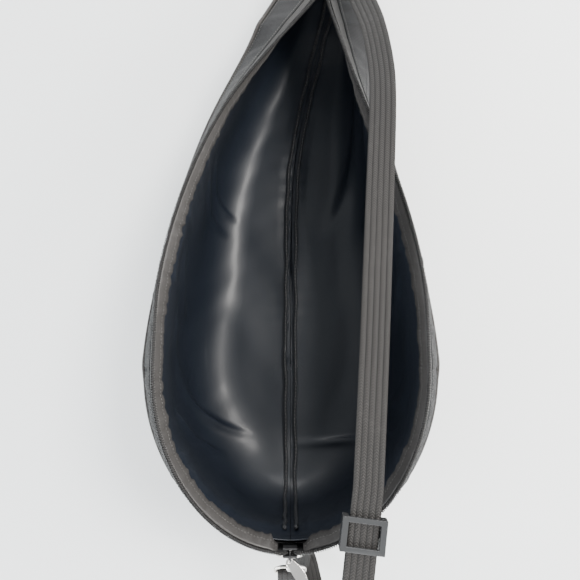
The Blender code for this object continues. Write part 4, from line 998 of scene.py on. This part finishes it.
def zip_coil(side, name):
    """A real coil: a flattened helix, wide along the strip and low across it, over a core cord."""
    line, outward = coil_line(side)
    run = resample(np.concatenate([line, outward], 1), COIL_STEP)
    centre, outward = run[:, :3], unit(run[:, 3:])
    heading = unit(np.gradient(centre, axis=0))
    across = unit(np.cross(heading, outward))
    turn = 2 * np.pi * np.arange(len(centre)) * COIL_STEP / COIL_PITCH
    wide = 0.00145 * np.cos(turn)[:, None]
    tall = 0.00140 * np.sin(turn)[:, None]
    helix = centre + across * wide + outward * tall
    teeth = wire("teeth", helix, 0.00052, FINISHES["coil"], False, 6, even=False)
    core = wire("core", resample(centre, 0.003), 0.00075, FINISHES["tape"], False, 8)
    place_on(join(name + "_zip_coil", [teeth, core]), "bag", name + "_zip_coil")


def spine_rib(side, name):
    """The bound edge of the lining's middle seam: a soft round tube that wanders slightly."""
    depth = LINING_DEPTH + LINING + RIB_RADIUS + 0.0038
    along = np.linspace(LENGTH - 0.02, NOSE_LENGTH, 40)
    floor = np.stack([side * RIB_SPACING + sway(along), FRONT_Y + along, np.full(40, depth)], -1)
    share = np.linspace(0.02, 1, 41)[1:]
    q = station_at(np.full(40, RIB_SPACING), lambda q: wall_arc(share, q))
    climb = shell(side, q, wall_arc(share, q), depth)
    path = resample(np.concatenate([floor, climb]), 0.0016)
    path[:, 0] += 0.0008 * waves(path[:, 1:], 0.050, 131 + side, 4)
    path[:, 2] += 0.0004 * waves(path[:, :2], 0.020, 141 + side, 4)
    piece = wire(name + "_spine_rib", path, RIB_RADIUS * 1.08, FINISHES["rib"], False, 12, 0.0016)
    place_on(piece, "bag", name + "_spine_rib")
    up = np.tile([0.0, 0.5, 0.87], (len(path), 1))
    row = stitches(name + "_rib_stitch", path + up * RIB_RADIUS, up, *RIB_STITCH)
    place_on(row, "bag")


def spine_and_ends(cloth):
    """The canvas pieces in the middle plane: the spine strip and both end gussets."""
    half = SPINE_HALF_WIDTH - INSET
    along = np.linspace(NOSE_LENGTH - 0.012, LENGTH - 0.003, 160)
    lateral = np.linspace(-half, half, 10)
    grid = np.stack(np.broadcast_arrays(lateral[:, None] + sway(along), FRONT_Y + along, 0.0), -1)
    lay = np.stack(np.broadcast_arrays(along, lateral[:, None], 0.0), -1)
    cloth_piece("spine_strip", grid, grid + [0, 0, STRIP], "twill", lay)
    share = np.linspace(0.04, 1, 90)
    half = seam_half_width(share) - INSET - 0.0008
    lateral = half[:, None] * np.linspace(-1, 1, 34)
    q = station_at(np.abs(lateral), lambda q: wall_arc(share[:, None], q))
    arc = wall_arc(share[:, None], q)
    side = np.where(lateral >= 0, 1, -1)
    ripple = waves(shell(side, q, arc, 0.0), 0.030, 151, 6) * 0.0006
    edge = smooth(np.minimum(half[:, None] - np.abs(lateral), 0.03), 0, 0.012)
    face = shell(side, q, arc, -cloth.outer_relief * (ripple * edge + 0.0008 * edge))
    back = shell(side, q, arc, STRIP)
    cloth_piece("wide_end_gusset", face, back, "twill", np.stack([lateral, arc, 0 * arc], -1))
    along = np.linspace(MOUTH_LENGTH + 0.001, LENGTH - 0.003, 70)
    here = sections(1 + (along - NOSE_LENGTH) / END_ARC)
    across = np.linspace(-1, 1, 40)[:, None]
    half = here["radius"] - INSET - 0.0012
    height = lip_height(along) - here["drop"] * (across * half / here["radius"]) ** 2
    grid = np.stack(np.broadcast_arrays(across * half + sway(along), FRONT_Y + along, height), -1)
    ripple = waves(grid, 0.028, 161, 6) * 0.0006 * smooth(1 - np.abs(across), 0, 0.3)
    lay = np.stack(np.broadcast_arrays(along, across * half, 0.0), -1)
    face = grid + ripple[..., None] * [0, 0, 1]
    cloth_piece("narrow_end_gusset", face, grid - [0, 0, STRIP], "twill", lay)


def closing_pieces():
    """CAD nodes with the right shape: their loose triangles are welded, and their edges rounded."""
    for node, look, width in (
            ("narrow_end_panel", "twill", 0.0005), ("zip_end_tab", "tape", 0.0004),
            ("zip_bottom_stop", "nickel", 0.0004), ("zip_slider", "black metal", 0.00035),
            ("zip_pull", "nickel", 0.0003), ("tri_glide", "buckle", 0.0005)):
        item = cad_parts[node]
        item.data.materials.clear()
        item.data.materials.append(FINISHES[look])
        weld = item.modifiers.new("weld", "WELD")
        weld.merge_threshold = 0.00001
        bevel = item.modifiers.new("round", "BEVEL")
        bevel.width = width
        bevel.segments = 3
        bevel.limit_method = "ANGLE"
        bevel.angle_limit = np.radians(35)
        bevel.harden_normals = False


# ---------------------------------------------------------------- strap and clips

# Route of the strap's middle line from the near bail to the far bail.
# The hanging loop's points are (x, distance beyond the wide end, height as a share of the front's height).
HANGING_LOOP = (
    (0.0, 0.0535, 0.675), (0.0012, 0.0600, 0.615), (0.0090, 0.0660, 0.450), (0.0130, 0.0720, 0.260),
    (0.0180, 0.0830, 0.120), (0.0230, 0.1000, 0.070), (0.0280, 0.1170, 0.130), (0.0320, 0.1240, 0.300),
    (0.0350, 0.1220, 0.525), (0.0380, 0.1120, 0.760), (0.0415, 0.0930, 0.970), (0.0448, 0.0640, 1.115),
)
GLIDE_POINT = np.array([0.0585, FRONT_Y + 0.035, float(lip_height(0.035)) + 0.0254])
GLIDE_HEADING = unit(np.array([0.125, 0.990, 0.020]))
# The stretch over the mouth is (x, share of the mouth's length, height above the zip).
OVER_MOUTH = (
    (0.069, 0.273, 0.0010), (0.074, 0.400, 0.0026), (0.080, 0.533, 0.0100), (0.088, 0.692, 0.0238),
    (0.089, 0.772, 0.0293), (0.085, 0.858, 0.0308), (0.078, 0.925, 0.0262),
)
ROLLS = np.array([(0.0, 0), (0.60, 0), (0.72, -6), (0.82, -20), (0.90, -36), (0.95, -34), (1.0, -24)])


# Points across the webbing's width, and the distance between its rings of points
LANES = 39
BAND_STEP = 0.0026
# Distance between the points of the strap's route
ROUTE_STEP = 0.018


def axes(origin, x_axis, z_axis):
    """A placement with its Z along one direction and its X as near as it can be to another."""
    z = Vector(z_axis).normalized()
    y = z.cross(Vector(x_axis)).normalized()
    return Matrix.Translation(Vector(origin)) @ Matrix((y.cross(z), y, z)).transposed().to_4x4()


def end_frame(above, depth=0.0):
    """A placement on the wide end's middle line: X across, Y up along the zip, Z outwards."""
    arc = float(sections(np.array(0.0))["wall"]) + above
    face = shell_face(np.array(0.0), np.array([arc, arc + 0.001]))
    up = unit(face[1] - face[0])
    out = shell_normal(np.array(0.0), np.array(arc))
    rows = Matrix(((1, 0, 0), tuple(up), tuple(out))).transposed().to_4x4()
    return Matrix.Translation(Vector(face[0] - out * depth)) @ rows


def strap_points(knots):
    """Points a route step apart on a Catmull-Rom curve through the knots."""
    knots = np.array(knots)
    padded = np.concatenate([knots[:1], knots, knots[-1:]])
    result = []
    for before, start, end, after in zip(padded, padded[1:], padded[2:], padded[3:]):
        steps = max(1, round(float(np.linalg.norm(end - start)) / ROUTE_STEP))
        t = (np.arange(steps) / steps)[:, None]
        result.append(catmull_rom(before, start, end, after, t))
    return np.concatenate(result + [knots[-1:]])


def strap_frames(points, start_width, end_width):
    """Width and normal vectors: level across the route, eased into the bars at the two ends."""
    run = run_along(points)
    ahead = points[np.minimum(np.arange(len(points)) + 1, len(points) - 1)]
    behind = points[np.maximum(np.arange(len(points)) - 1, 0)]
    headings = unit(ahead - behind)
    previous = unit(np.array(start_width))
    widths = []
    for index, heading in enumerate(headings):
        across = unit(previous - heading * previous.dot(heading))
        level = np.array([heading[1], -heading[0], 0])
        level = unit(level) if np.linalg.norm(level) > 0.35 else across
        level = -level if level.dot(previous) < 0 else level
        share = run[index] / run[-1]
        roll = np.radians(np.interp(share, ROLLS[:, 0], ROLLS[:, 1]))
        wanted = level * np.cos(roll) + np.cross(heading, level) * np.sin(roll)
        wanted = wanted if share > 0.3 else unit(across * 0.5 + wanted * 0.5)
        if share > 0.93:
            ease = (share - 0.93) / 0.07
            wanted = unit(wanted * (1 - ease) + end_width * ease)
        wanted = unit(wanted - heading * wanted.dot(heading))
        if index == 0:
            wanted = unit(np.array(start_width))
        if index == len(points) - 1:
            wanted = unit(np.array(end_width))
        widths.append(wanted)
        previous = wanted
    widths = np.array(widths)
    return widths, unit(np.cross(widths, headings)), run


def ribbed_band(name, centres, widths, normals, width, strap, ribs=5):
    """Webbing: a profile with round edges and lengthwise ribs, carried along a centre line.

    The half thickness across the width is a flattened ellipse plus a rectified sine for each rib."""
    path = resample(np.concatenate([centres, widths, normals], 1), BAND_STEP)
    centre, across = path[:, :3], unit(path[:, 3:6])
    heading = unit(np.gradient(centre, axis=0))
    across = unit(across - heading * np.sum(across * heading, -1, keepdims=True))
    up = unit(np.cross(across, heading))
    up = up * np.sign(np.sum(up * path[:, 6:9], -1, keepdims=True))
    x = np.linspace(-1, 1, LANES)
    x = 0.35 * np.sin(np.pi / 2 * x) + 0.65 * x
    edge = np.sqrt(np.clip(1 - np.abs(x) ** 9, 0, 1))
    half = STRAP / 2 * edge - strap.rib_depth * (1 - np.abs(np.sin(np.pi * ribs * (x + 1) / 2))) * edge
    ring_x = np.concatenate([x, x[-2:0:-1]]) * width / 2
    ring_z = np.concatenate([half, -half[-2:0:-1]])
    points = centre[:, None] + across[:, None] * ring_x[:, None] + up[:, None] * ring_z[:, None]
    count = len(ring_x)
    faces = grid_faces(len(path), count, False, True)
    last = (len(path) - 1) * count
    lane = np.arange(1, LANES - 2)
    ends = np.stack([lane, lane + 1, count - lane - 1, count - lane], -1)
    quads = np.concatenate([faces, ends, last + ends[:, ::-1]])
    corners = np.array([[0, 1, count - 1], [LANES - 1, count - LANES + 1, LANES - 2]])
    triangles = np.concatenate([quads[:, [0, 1, 2]], quads[:, [0, 2, 3]], corners, last + corners[:, ::-1]])
    run = np.arange(len(path)) * BAND_STEP
    lay = np.stack(np.broadcast_arrays(run[:, None], ring_x, 0.0), -1).reshape(-1, 3)
    return solid(name, points.reshape(-1, 3), triangles, FINISHES["webbing"], lay, 60)


def folded_band(name, y, z, width, place, strap):
    """Webbing folded in a placement's YZ plane, along the points (y, z)."""
    path = np.stack([0 * y, y, z], -1)
    heading = unit(np.gradient(path, axis=0))
    normal = np.stack([0 * y, -heading[:, 2], heading[:, 1]], -1)
    turn = np.array(place.to_3x3())
    across = np.tile(turn @ [1, 0, 0], (len(y), 1))
    return ribbed_band(name, moved(path, place), across, normal @ turn.T, width, strap)


def ring_tab(name, body, place, strap):
    """A folded webbing tab: from the sewn tail, round the ring's bar and back on top of itself."""
    inner = WIRE_RADIUS + BAR_CLEARANCE
    middle = inner + TAB_LAYER / 2
    upper = -middle + TAB_LAYER + 0.0002
    angle = np.linspace(-np.pi / 2, np.pi - np.arcsin(upper / middle), 22)
    y = np.concatenate([[TAB_TAIL, 0.009], -middle * np.cos(angle), [0.009, TAB_TAIL]])
    z = np.concatenate([[-middle, -middle], middle * np.sin(angle), [upper, upper]])
    place_on(folded_band(name, y, z, TAB_WIDTH, place, strap), body, name)


def clip_set(name, place, bail_turn):
    """Ring, hook, gate and bail in line. Local axes: X along the ring's bar, Z from ring to bail."""
    nickel = FINISHES["nickel"]
    angle = np.linspace(0, np.pi, 25)
    corner = 0.0012
    reach = RING_REACH - corner
    ring = np.stack([RING_HALF_WIDTH * np.cos(angle), 0 * angle, corner + reach * np.sin(angle)], -1)
    bar = np.array([(-RING_HALF_WIDTH + corner, 0, 0), (0, 0, 0), (RING_HALF_WIDTH - corner, 0, 0)])
    path = moved(np.concatenate([bar, ring]), place)
    piece = wire(name + "_d_ring", path, WIRE_RADIUS, nickel, True, 16, 0.0008)
    place_on(piece, name + "_ring", name + "_d_ring")
    eye_z = RING_REACH - WIRE_RADIUS - HOOK_RADIUS - CLEARANCE + HOOK_EYE
    angle = np.radians(np.linspace(250, 10, 25))
    curl = np.stack([0 * angle, HOOK_EYE * np.cos(angle), eye_z - HOOK_EYE * np.sin(angle)], -1)
    path = np.concatenate([[(0, 0, BARREL_START + 0.001), (0, -0.0002, BARREL_START - 0.001)], curl])
    hook = wire("hook", moved(path, place), HOOK_RADIUS, nickel, False, 16, 0.0007)
    stud = 0.0015
    nut = 0.0027
    end = BARREL_START + BARREL_LENGTH
    eye_start = end + CLEARANCE
    eye_end = eye_start + EYE_THICKNESS
    head = eye_end + CLEARANCE
    top = head + 0.0014
    soft = 0.0005
    profile = [(0.0, top), (nut - soft, top), (nut, top - soft), (nut, head), (stud, head),
               (stud, end), (BARREL_RADIUS - soft, end), (BARREL_RADIUS, end - soft),
               (BARREL_RADIUS, BARREL_START + 2 * soft), (BARREL_RADIUS - soft, BARREL_START + soft),
               (BARREL_RADIUS - 3 * soft, BARREL_START), (0.0, BARREL_START)]
    barrel = turned("barrel", profile, nickel, place)
    place_on(join(name + "_hook", [hook, barrel]), name + "_clip", name + "_hook")
    pivot = np.array([0, 0.0036, BARREL_START - 0.0020])
    gate = [pivot, pivot + [0, 0.0005, 0.004], pivot + [0, 0.0011, eye_z + 0.0018 - pivot[2]]]
    piece = wire(name + "_gate", moved(gate, place), 0.0011, nickel, False, 14)
    place_on(piece, name + "_gate", name + "_gate")
    turned_place = place @ Matrix.Rotation(bail_turn, 4, "Z")
    hole = stud + CLEARANCE
    outline = [(hole, eye_end), (EYE_RADIUS - soft, eye_end), (EYE_RADIUS, eye_end - soft),
               (EYE_RADIUS, eye_start + soft), (EYE_RADIUS - soft, eye_start), (hole, eye_start),
               (hole, eye_end)]
    eye = turned("eye", outline, nickel, turned_place)
    middle = eye_start + EYE_THICKNESS / 2
    half = BAIL_HALF_WIDTH
    leg = [(EYE_RADIUS - 0.0014, 0, middle), (0.0085, 0, middle + 0.0004),
           (half - 0.0008, 0, BAIL_REACH - 0.0072), (half, 0, BAIL_REACH - 0.0050),
           (half, 0, BAIL_REACH - 0.0014), (half - 0.0012, 0, BAIL_REACH), (half - 0.004, 0, BAIL_REACH)]
    bow = np.array(leg + [(0, 0, BAIL_REACH)] + [(-x, y, z) for x, y, z in reversed(leg)])
    frame_wire = wire("bow", moved(bow, turned_place), WIRE_RADIUS, nickel, False, 16, 0.0008)
    place_on(join(name + "_bail", [eye, frame_wire]), name + "_clip", name + "_bail")


def clip_places():
    """Placements of the near and far clips and of their webbing tabs."""
    near_bar = end_frame(NEAR_TAB_HEIGHT, -TAB_OFFSET)
    near = axes(near_bar.translation, (1, 0, 0), NEAR_HEADING)
    near_tab = near_bar @ Matrix.Rotation(np.pi, 4, "Z")
    slope = float(lip_height(FAR_TAB_ALONG + 0.005) - lip_height(FAR_TAB_ALONG - 0.005)) / 0.01
    out = Vector((0, -slope, 1)).normalized()
    height = float(lip_height(FAR_TAB_ALONG))
    surface = Vector((float(sway(FAR_TAB_ALONG)), FRONT_Y + FAR_TAB_ALONG, height))
    origin = surface + out * (TAB_OFFSET + 0.0004)
    heading = Vector(FAR_HEADING).normalized()
    across = out.cross(heading).normalized()
    turn = Matrix((across, out.cross(across), out)).transposed().to_4x4()
    return near, near_tab, axes(origin, across, heading), Matrix.Translation(origin) @ turn


def strap_webbing(near, far, strap):
    """One strap, doubled between the near bail and the buckle, and looped round both bails."""
    near_bar = np.array(near @ Vector((0, 0, BAIL_REACH)))
    far_bar = np.array(far @ Vector((0, 0, BAIL_REACH)))
    far_out = np.array((far.to_3x3() @ Vector((0, 0, 1))).normalized())
    near_width = np.array(near.to_3x3() @ Vector((1, 0, 0)))
    far_width = np.array(far.to_3x3() @ Matrix.Rotation(FAR_BAIL_TURN, 3, "Z") @ Vector((1, 0, 0)))
    knots = [near_bar] + [(x, FRONT_Y - ahead, share * FRONT_HEIGHT) for x, ahead, share in HANGING_LOOP]
    knots += [GLIDE_POINT + GLIDE_HEADING * reach for reach in (-0.062, -0.046, -0.030, 0.0, 0.022, 0.036)]
    knots += [(x, FRONT_Y + share * MOUTH_LENGTH, float(lip_height(share * MOUTH_LENGTH)) + rise)
              for x, share, rise in OVER_MOUTH]
    knots += [far_bar + far_out * 0.016, far_bar + far_out * 0.008, far_bar]
    points = strap_points(knots)
    widths, normals, run = strap_frames(points, near_width, far_width)
    total = run[-1]
    ply = (STRAP + PLY_GAP) / 2
    wrap = WIRE_RADIUS + BAR_CLEARANCE + STRAP / 2
    gap = (wrap + (ply - wrap) * smooth(np.minimum(run, total - run), 0, 0.020))[:, None]
    glide_index = int(np.argmin(np.linalg.norm(points - GLIDE_POINT, axis=-1)))
    stop = run[glide_index] - (GLIDE_CENTRE_BAR / 2 + 0.011 + GLIDE_TRAVEL + 0.0005)
    under = run < stop - 0.004
    tail = total - run < 0.045
    angle = (np.pi * np.arange(1, 12) / 12)[:, None]

    def wrapped(bar, beyond, across, first_normal):
        spoke = first_normal * np.cos(angle) + beyond * np.sin(angle)
        return bar + spoke * wrap, np.tile(across, (len(angle), 1)), spoke

    over = (points + normals * gap, widths, normals)
    below = (points - normals * gap, widths, -normals)
    parts = [tuple(item[under][::-1] for item in below),
             wrapped(near_bar, unit(points[0] - points[1]), widths[0], -normals[0]), over,
             wrapped(far_bar, unit(points[-1] - points[-2]), widths[-1], normals[-1]),
             tuple(item[tail][::-1] for item in below)]
    centres, across, ups = (np.concatenate(group) for group in zip(*parts))
    piece = ribbed_band("strap_webbing", centres, across, ups, STRAP_WIDTH, strap)
    place_on(piece, "bag", "strap_webbing")
    across = unit(widths[glide_index] - GLIDE_HEADING * widths[glide_index].dot(GLIDE_HEADING))
    rows = [tuple(row) for row in (across, GLIDE_HEADING, np.cross(across, GLIDE_HEADING))]
    turn = Matrix(rows).transposed()
    return Matrix.Translation(Vector(GLIDE_POINT)) @ turn.to_4x4()


def sewn_loop(place, strap):
    """The strap's sewn end: from under the buckle round its centre bar and back."""
    ply = (STRAP + PLY_GAP) / 2
    low = -ply - STRAP - PLY_GAP
    bar_top = -ply - STRAP / 2 - CLEARANCE
    centre = bar_top - GLIDE_CENTRE_HEIGHT / 2
    radius = GLIDE_CENTRE_HEIGHT / 2 + CLEARANCE + STRAP / 2 + 0.0001
    edge = GLIDE_CENTRE_BAR / 2
    angle = np.radians(np.linspace(-90, 90, 15))
    y = np.concatenate([[-0.040, -0.022, -0.010, -edge - 0.001], edge - 0.0006 + radius * np.cos(angle),
                        [-edge, -edge - 0.010]])
    z = np.concatenate([[low, low, low - 0.0002, centre - radius], centre + radius * np.sin(angle),
                        [-ply, -ply]])
    piece = folded_band("strap_sewn_loop", y, z, STRAP_WIDTH, place, strap)
    place_on(piece, "adjuster", "strap_sewn_loop")


# ---------------------------------------------------------------- stage

CAMERA_LENS = 26.69
CAMERA_PLACE = (0.0, -0.177, 0.6024)
CAMERA_TILT = np.radians(84)


def area_light(name, place, target, size, power, colour):
    """A rectangular light that faces a point."""
    data = bpy.data.lights.new(name, "AREA")
    data.shape = "RECTANGLE"
    data.size, data.size_y = size
    data.energy = power
    data.color = colour
    item = bpy.data.objects.new(name, data)
    bpy.context.scene.collection.objects.link(item)
    item.location = place
    item.rotation_mode = "QUATERNION"
    item.rotation_quaternion = (Vector(target) - Vector(place)).to_track_quat("-Z", "Y")


def build_stage(stage):
    """A wide pale floor just below the bag, a bright sky, five soft lights and the camera."""
    radius = np.linspace(0, 1, 40)[:, None]
    angle = np.linspace(0, 2 * np.pi, 64, endpoint=False)
    reach = 40.0 * radius ** 3
    points = np.stack(np.broadcast_arrays(reach * np.cos(angle), reach * np.sin(angle), -0.0012), -1)
    mesh = bpy.data.meshes.new("floor")
    mesh.from_pydata(points.reshape(-1, 3).tolist(), [], grid_faces(40, 64, False, True).tolist())
    floor = bpy.data.objects.new("floor", mesh)
    bpy.context.scene.collection.objects.link(floor)
    item = bpy.data.materials.new("floor paper")
    item.use_nodes = True
    shader = item.node_tree.nodes["Principled BSDF"]
    shader.inputs["Base Color"].default_value = (*stage.floor_colour, 1)
    shader.inputs["Roughness"].default_value = 0.85
    mesh.materials.append(item)
    world = bpy.data.worlds.new("studio")
    world.use_nodes = True
    sky = world.node_tree.nodes["Background"]
    sky.inputs["Color"].default_value = (0.93, 0.97, 1.0, 1)
    sky.inputs["Strength"].default_value = stage.world_light
    bpy.context.scene.world = world
    # Name, place, target, size, share of the main power, colour
    for name, place, target, size, share, colour in (
            ("key", (0.78, 0.22, 1.55), (-0.06, 0.05, 0.10), (0.5, 0.5), 0.5, (1.0, 0.97, 0.93)),
            ("side", (1.70, 0.10, 0.90), (-0.05, 0, 0.12), (1.3, 0.9), 0.6, (1.0, 0.98, 0.95)),
            ("fill", (-1.60, -0.70, 1.00), (0.05, -0.1, 0.12), (1.4, 1.0), 0.55, (0.94, 0.97, 1.0)),
            ("back", (0.10, 1.90, 1.00), (0, 0, 0.1), (1.8, 0.8), 0.6, (1, 1, 1)),
            ("front", (0.10, -1.90, 1.00), (0, 0, 0.1), (1.8, 0.8), 0.45, (1, 1, 1))):
        area_light(name, place, target, size, stage.key_light * share, colour)
    camera = bpy.data.cameras.new("camera")
    camera.lens = CAMERA_LENS
    camera.sensor_width = 36.0
    camera.clip_start = 0.01
    view = bpy.data.objects.new("camera", camera)
    bpy.context.scene.collection.objects.link(view)
    view.location = CAMERA_PLACE
    ahead = Vector((0, np.cos(CAMERA_TILT), -np.sin(CAMERA_TILT)))
    view.rotation_mode = "QUATERNION"
    view.rotation_quaternion = ahead.to_track_quat("-Z", "Y")
    bpy.context.scene.camera = view


# ---------------------------------------------------------------- the add-on

def colour_setting(name, description, default):
    """A colour in the sidebar."""
    return bpy.props.FloatVectorProperty(name=name, description=description, subtype="COLOR",
                                         default=default, min=0, max=1)


def relief_setting(name, description, most):
    """A factor of relief in the sidebar, where 1 is as modelled."""
    return bpy.props.FloatProperty(name=name, description=description, subtype="FACTOR", default=1.0,
                                   min=0, max=most)


class BagClothSettings(bpy.types.PropertyGroup):
    """Colours of the cloths and how far they wrinkle."""
    canvas_colour: colour_setting("Canvas", "Colour of the outer canvas", (0.0085, 0.0087, 0.0093))
    lining_colour: colour_setting("Lining", "Colour of the coated lining", (0.0055, 0.0085, 0.0145))
    stripe_colour: colour_setting("Stripe", "Colour of the stripe on the right panel", (0.55, 0.065, 0.018))
    webbing_colour: colour_setting("Webbing", "Colour of the strap's webbing", (0.024, 0.0225, 0.0215))
    outer_relief: relief_setting("Outer relief", "Size of the outer cloth's dents", 2)
    lining_relief: relief_setting("Lining relief", "Size of the lining's folds", 1.5)


class BagStrapSettings(bpy.types.PropertyGroup):
    """The webbing's surface."""
    rib_depth: bpy.props.FloatProperty(
        name="Rib depth", description="Depth of the grooves between the ribs", default=0.00042, min=0,
        max=0.0006, unit="LENGTH", precision=5)


class BagStageSettings(bpy.types.PropertyGroup):
    """Floor and light."""
    floor_colour: colour_setting("Floor", "Colour of the floor", (0.90, 0.92, 0.92))
    key_light: bpy.props.FloatProperty(
        name="Key light", description="Power of the main light in watts", default=85.0, min=0, unit="POWER")
    world_light: bpy.props.FloatProperty(
        name="Sky", description="Brightness of the surroundings", default=0.9, min=0, max=5)


def both_sides(make, *values):
    """Makes a piece on the left and on the right."""
    for side, name in ((-1, "left"), (1, "right")):
        make(side, name, *values)


class BAG_OT_finishes(bpy.types.Operator):
    """Make the cloth, plastic and metal finishes"""
    bl_idname = "bag.finishes"
    bl_label = "Finishes"
    bl_options = {"REGISTER", "UNDO"}

    def execute(self, context):
        make_finishes(context.scene.bag_cloth)
        return {"FINISHED"}


class BAG_OT_stage(bpy.types.Operator):
    """Make the floor, the lights and the camera"""
    bl_idname = "bag.stage"
    bl_label = "Stage"
    bl_options = {"REGISTER", "UNDO"}

    def execute(self, context):
        build_stage(context.scene.bag_stage)
        return {"FINISHED"}


class BAG_OT_panels(bpy.types.Operator):
    """Make the two padded face panels with their topstitching"""
    bl_idname = "bag.panels"
    bl_label = "Face panels"
    bl_options = {"REGISTER", "UNDO"}

    def execute(self, context):
        both_sides(outer_panel, context.scene.bag_cloth)
        return {"FINISHED"}


class BAG_OT_lining(bpy.types.Operator):
    """Make the coated lining, its gathered hem and its bound middle seam"""
    bl_idname = "bag.lining"
    bl_label = "Lining"
    bl_options = {"REGISTER", "UNDO"}

    def execute(self, context):
        scene = context.scene
        both_sides(lining, scene.bag_cloth)
        both_sides(mouth_binding, scene.bag_cloth)
        both_sides(spine_rib)
        return {"FINISHED"}


class BAG_OT_gussets(bpy.types.Operator):
    """Make the zip-side strips, the spine strip, the end gussets and the piping"""
    bl_idname = "bag.gussets"
    bl_label = "Gussets and piping"
    bl_options = {"REGISTER", "UNDO"}

    def execute(self, context):
        scene = context.scene
        both_sides(gusset_strip, scene.bag_cloth)
        both_sides(piping)
        spine_and_ends(scene.bag_cloth)
        return {"FINISHED"}


class BAG_OT_zip(bpy.types.Operator):
    """Make the zip's tapes and coils, and finish its slider, pull, stop and end tab"""
    bl_idname = "bag.zip"
    bl_label = "Zip"
    bl_options = {"REGISTER", "UNDO"}

    def execute(self, context):
        both_sides(zip_tape)
        both_sides(zip_coil)
        closing_pieces()
        return {"FINISHED"}


class BAG_OT_strap(bpy.types.Operator):
    """Make the webbing, its clips, rings and tabs"""
    bl_idname = "bag.strap"
    bl_label = "Strap and clips"
    bl_options = {"REGISTER", "UNDO"}

    def execute(self, context):
        scene = context.scene
        near, near_tab, far, far_tab = clip_places()
        ring_tab("near_ring_tab", "bag", near_tab, scene.bag_strap)
        ring_tab("far_ring_tab", "bag", far_tab, scene.bag_strap)
        clip_set("near", near, 0.0)
        clip_set("far", far, FAR_BAIL_TURN)
        sewn_loop(strap_webbing(near, far, scene.bag_strap), scene.bag_strap)
        return {"FINISHED"}


class BAG_PT_panel(bpy.types.Panel):
    """The bag's settings and steps"""
    bl_idname = "BAG_PT_panel"
    bl_label = "Racket Bag"
    bl_space_type = "VIEW_3D"
    bl_region_type = "UI"
    bl_category = "Bag"

    def draw(self, context):
        for settings in (context.scene.bag_cloth, context.scene.bag_strap, context.scene.bag_stage):
            box = self.layout.box()
            for field in settings.bl_rna.properties:
                if field.identifier not in {"rna_type", "name"}:
                    box.prop(settings, field.identifier)
        for step in STEPS:
            self.layout.operator(step.bl_idname)


STEPS = (BAG_OT_finishes, BAG_OT_stage, BAG_OT_panels, BAG_OT_lining, BAG_OT_gussets, BAG_OT_zip,
         BAG_OT_strap)
CLASSES = (BagClothSettings, BagStrapSettings, BagStageSettings, *STEPS, BAG_PT_panel)


def register():
    for item in CLASSES:
        bpy.utils.register_class(item)
    bpy.types.Scene.bag_cloth = bpy.props.PointerProperty(type=BagClothSettings)
    bpy.types.Scene.bag_strap = bpy.props.PointerProperty(type=BagStrapSettings)
    bpy.types.Scene.bag_stage = bpy.props.PointerProperty(type=BagStageSettings)


def unregister():
    del bpy.types.Scene.bag_cloth
    del bpy.types.Scene.bag_strap
    del bpy.types.Scene.bag_stage
    for item in reversed(CLASSES):
        bpy.utils.unregister_class(item)


def main():
    register()
    for step in (bpy.ops.bag.finishes, bpy.ops.bag.stage, bpy.ops.bag.panels, bpy.ops.bag.lining,
                 bpy.ops.bag.gussets, bpy.ops.bag.zip, bpy.ops.bag.strap):
        step()


if __name__ == "__main__":
    main()
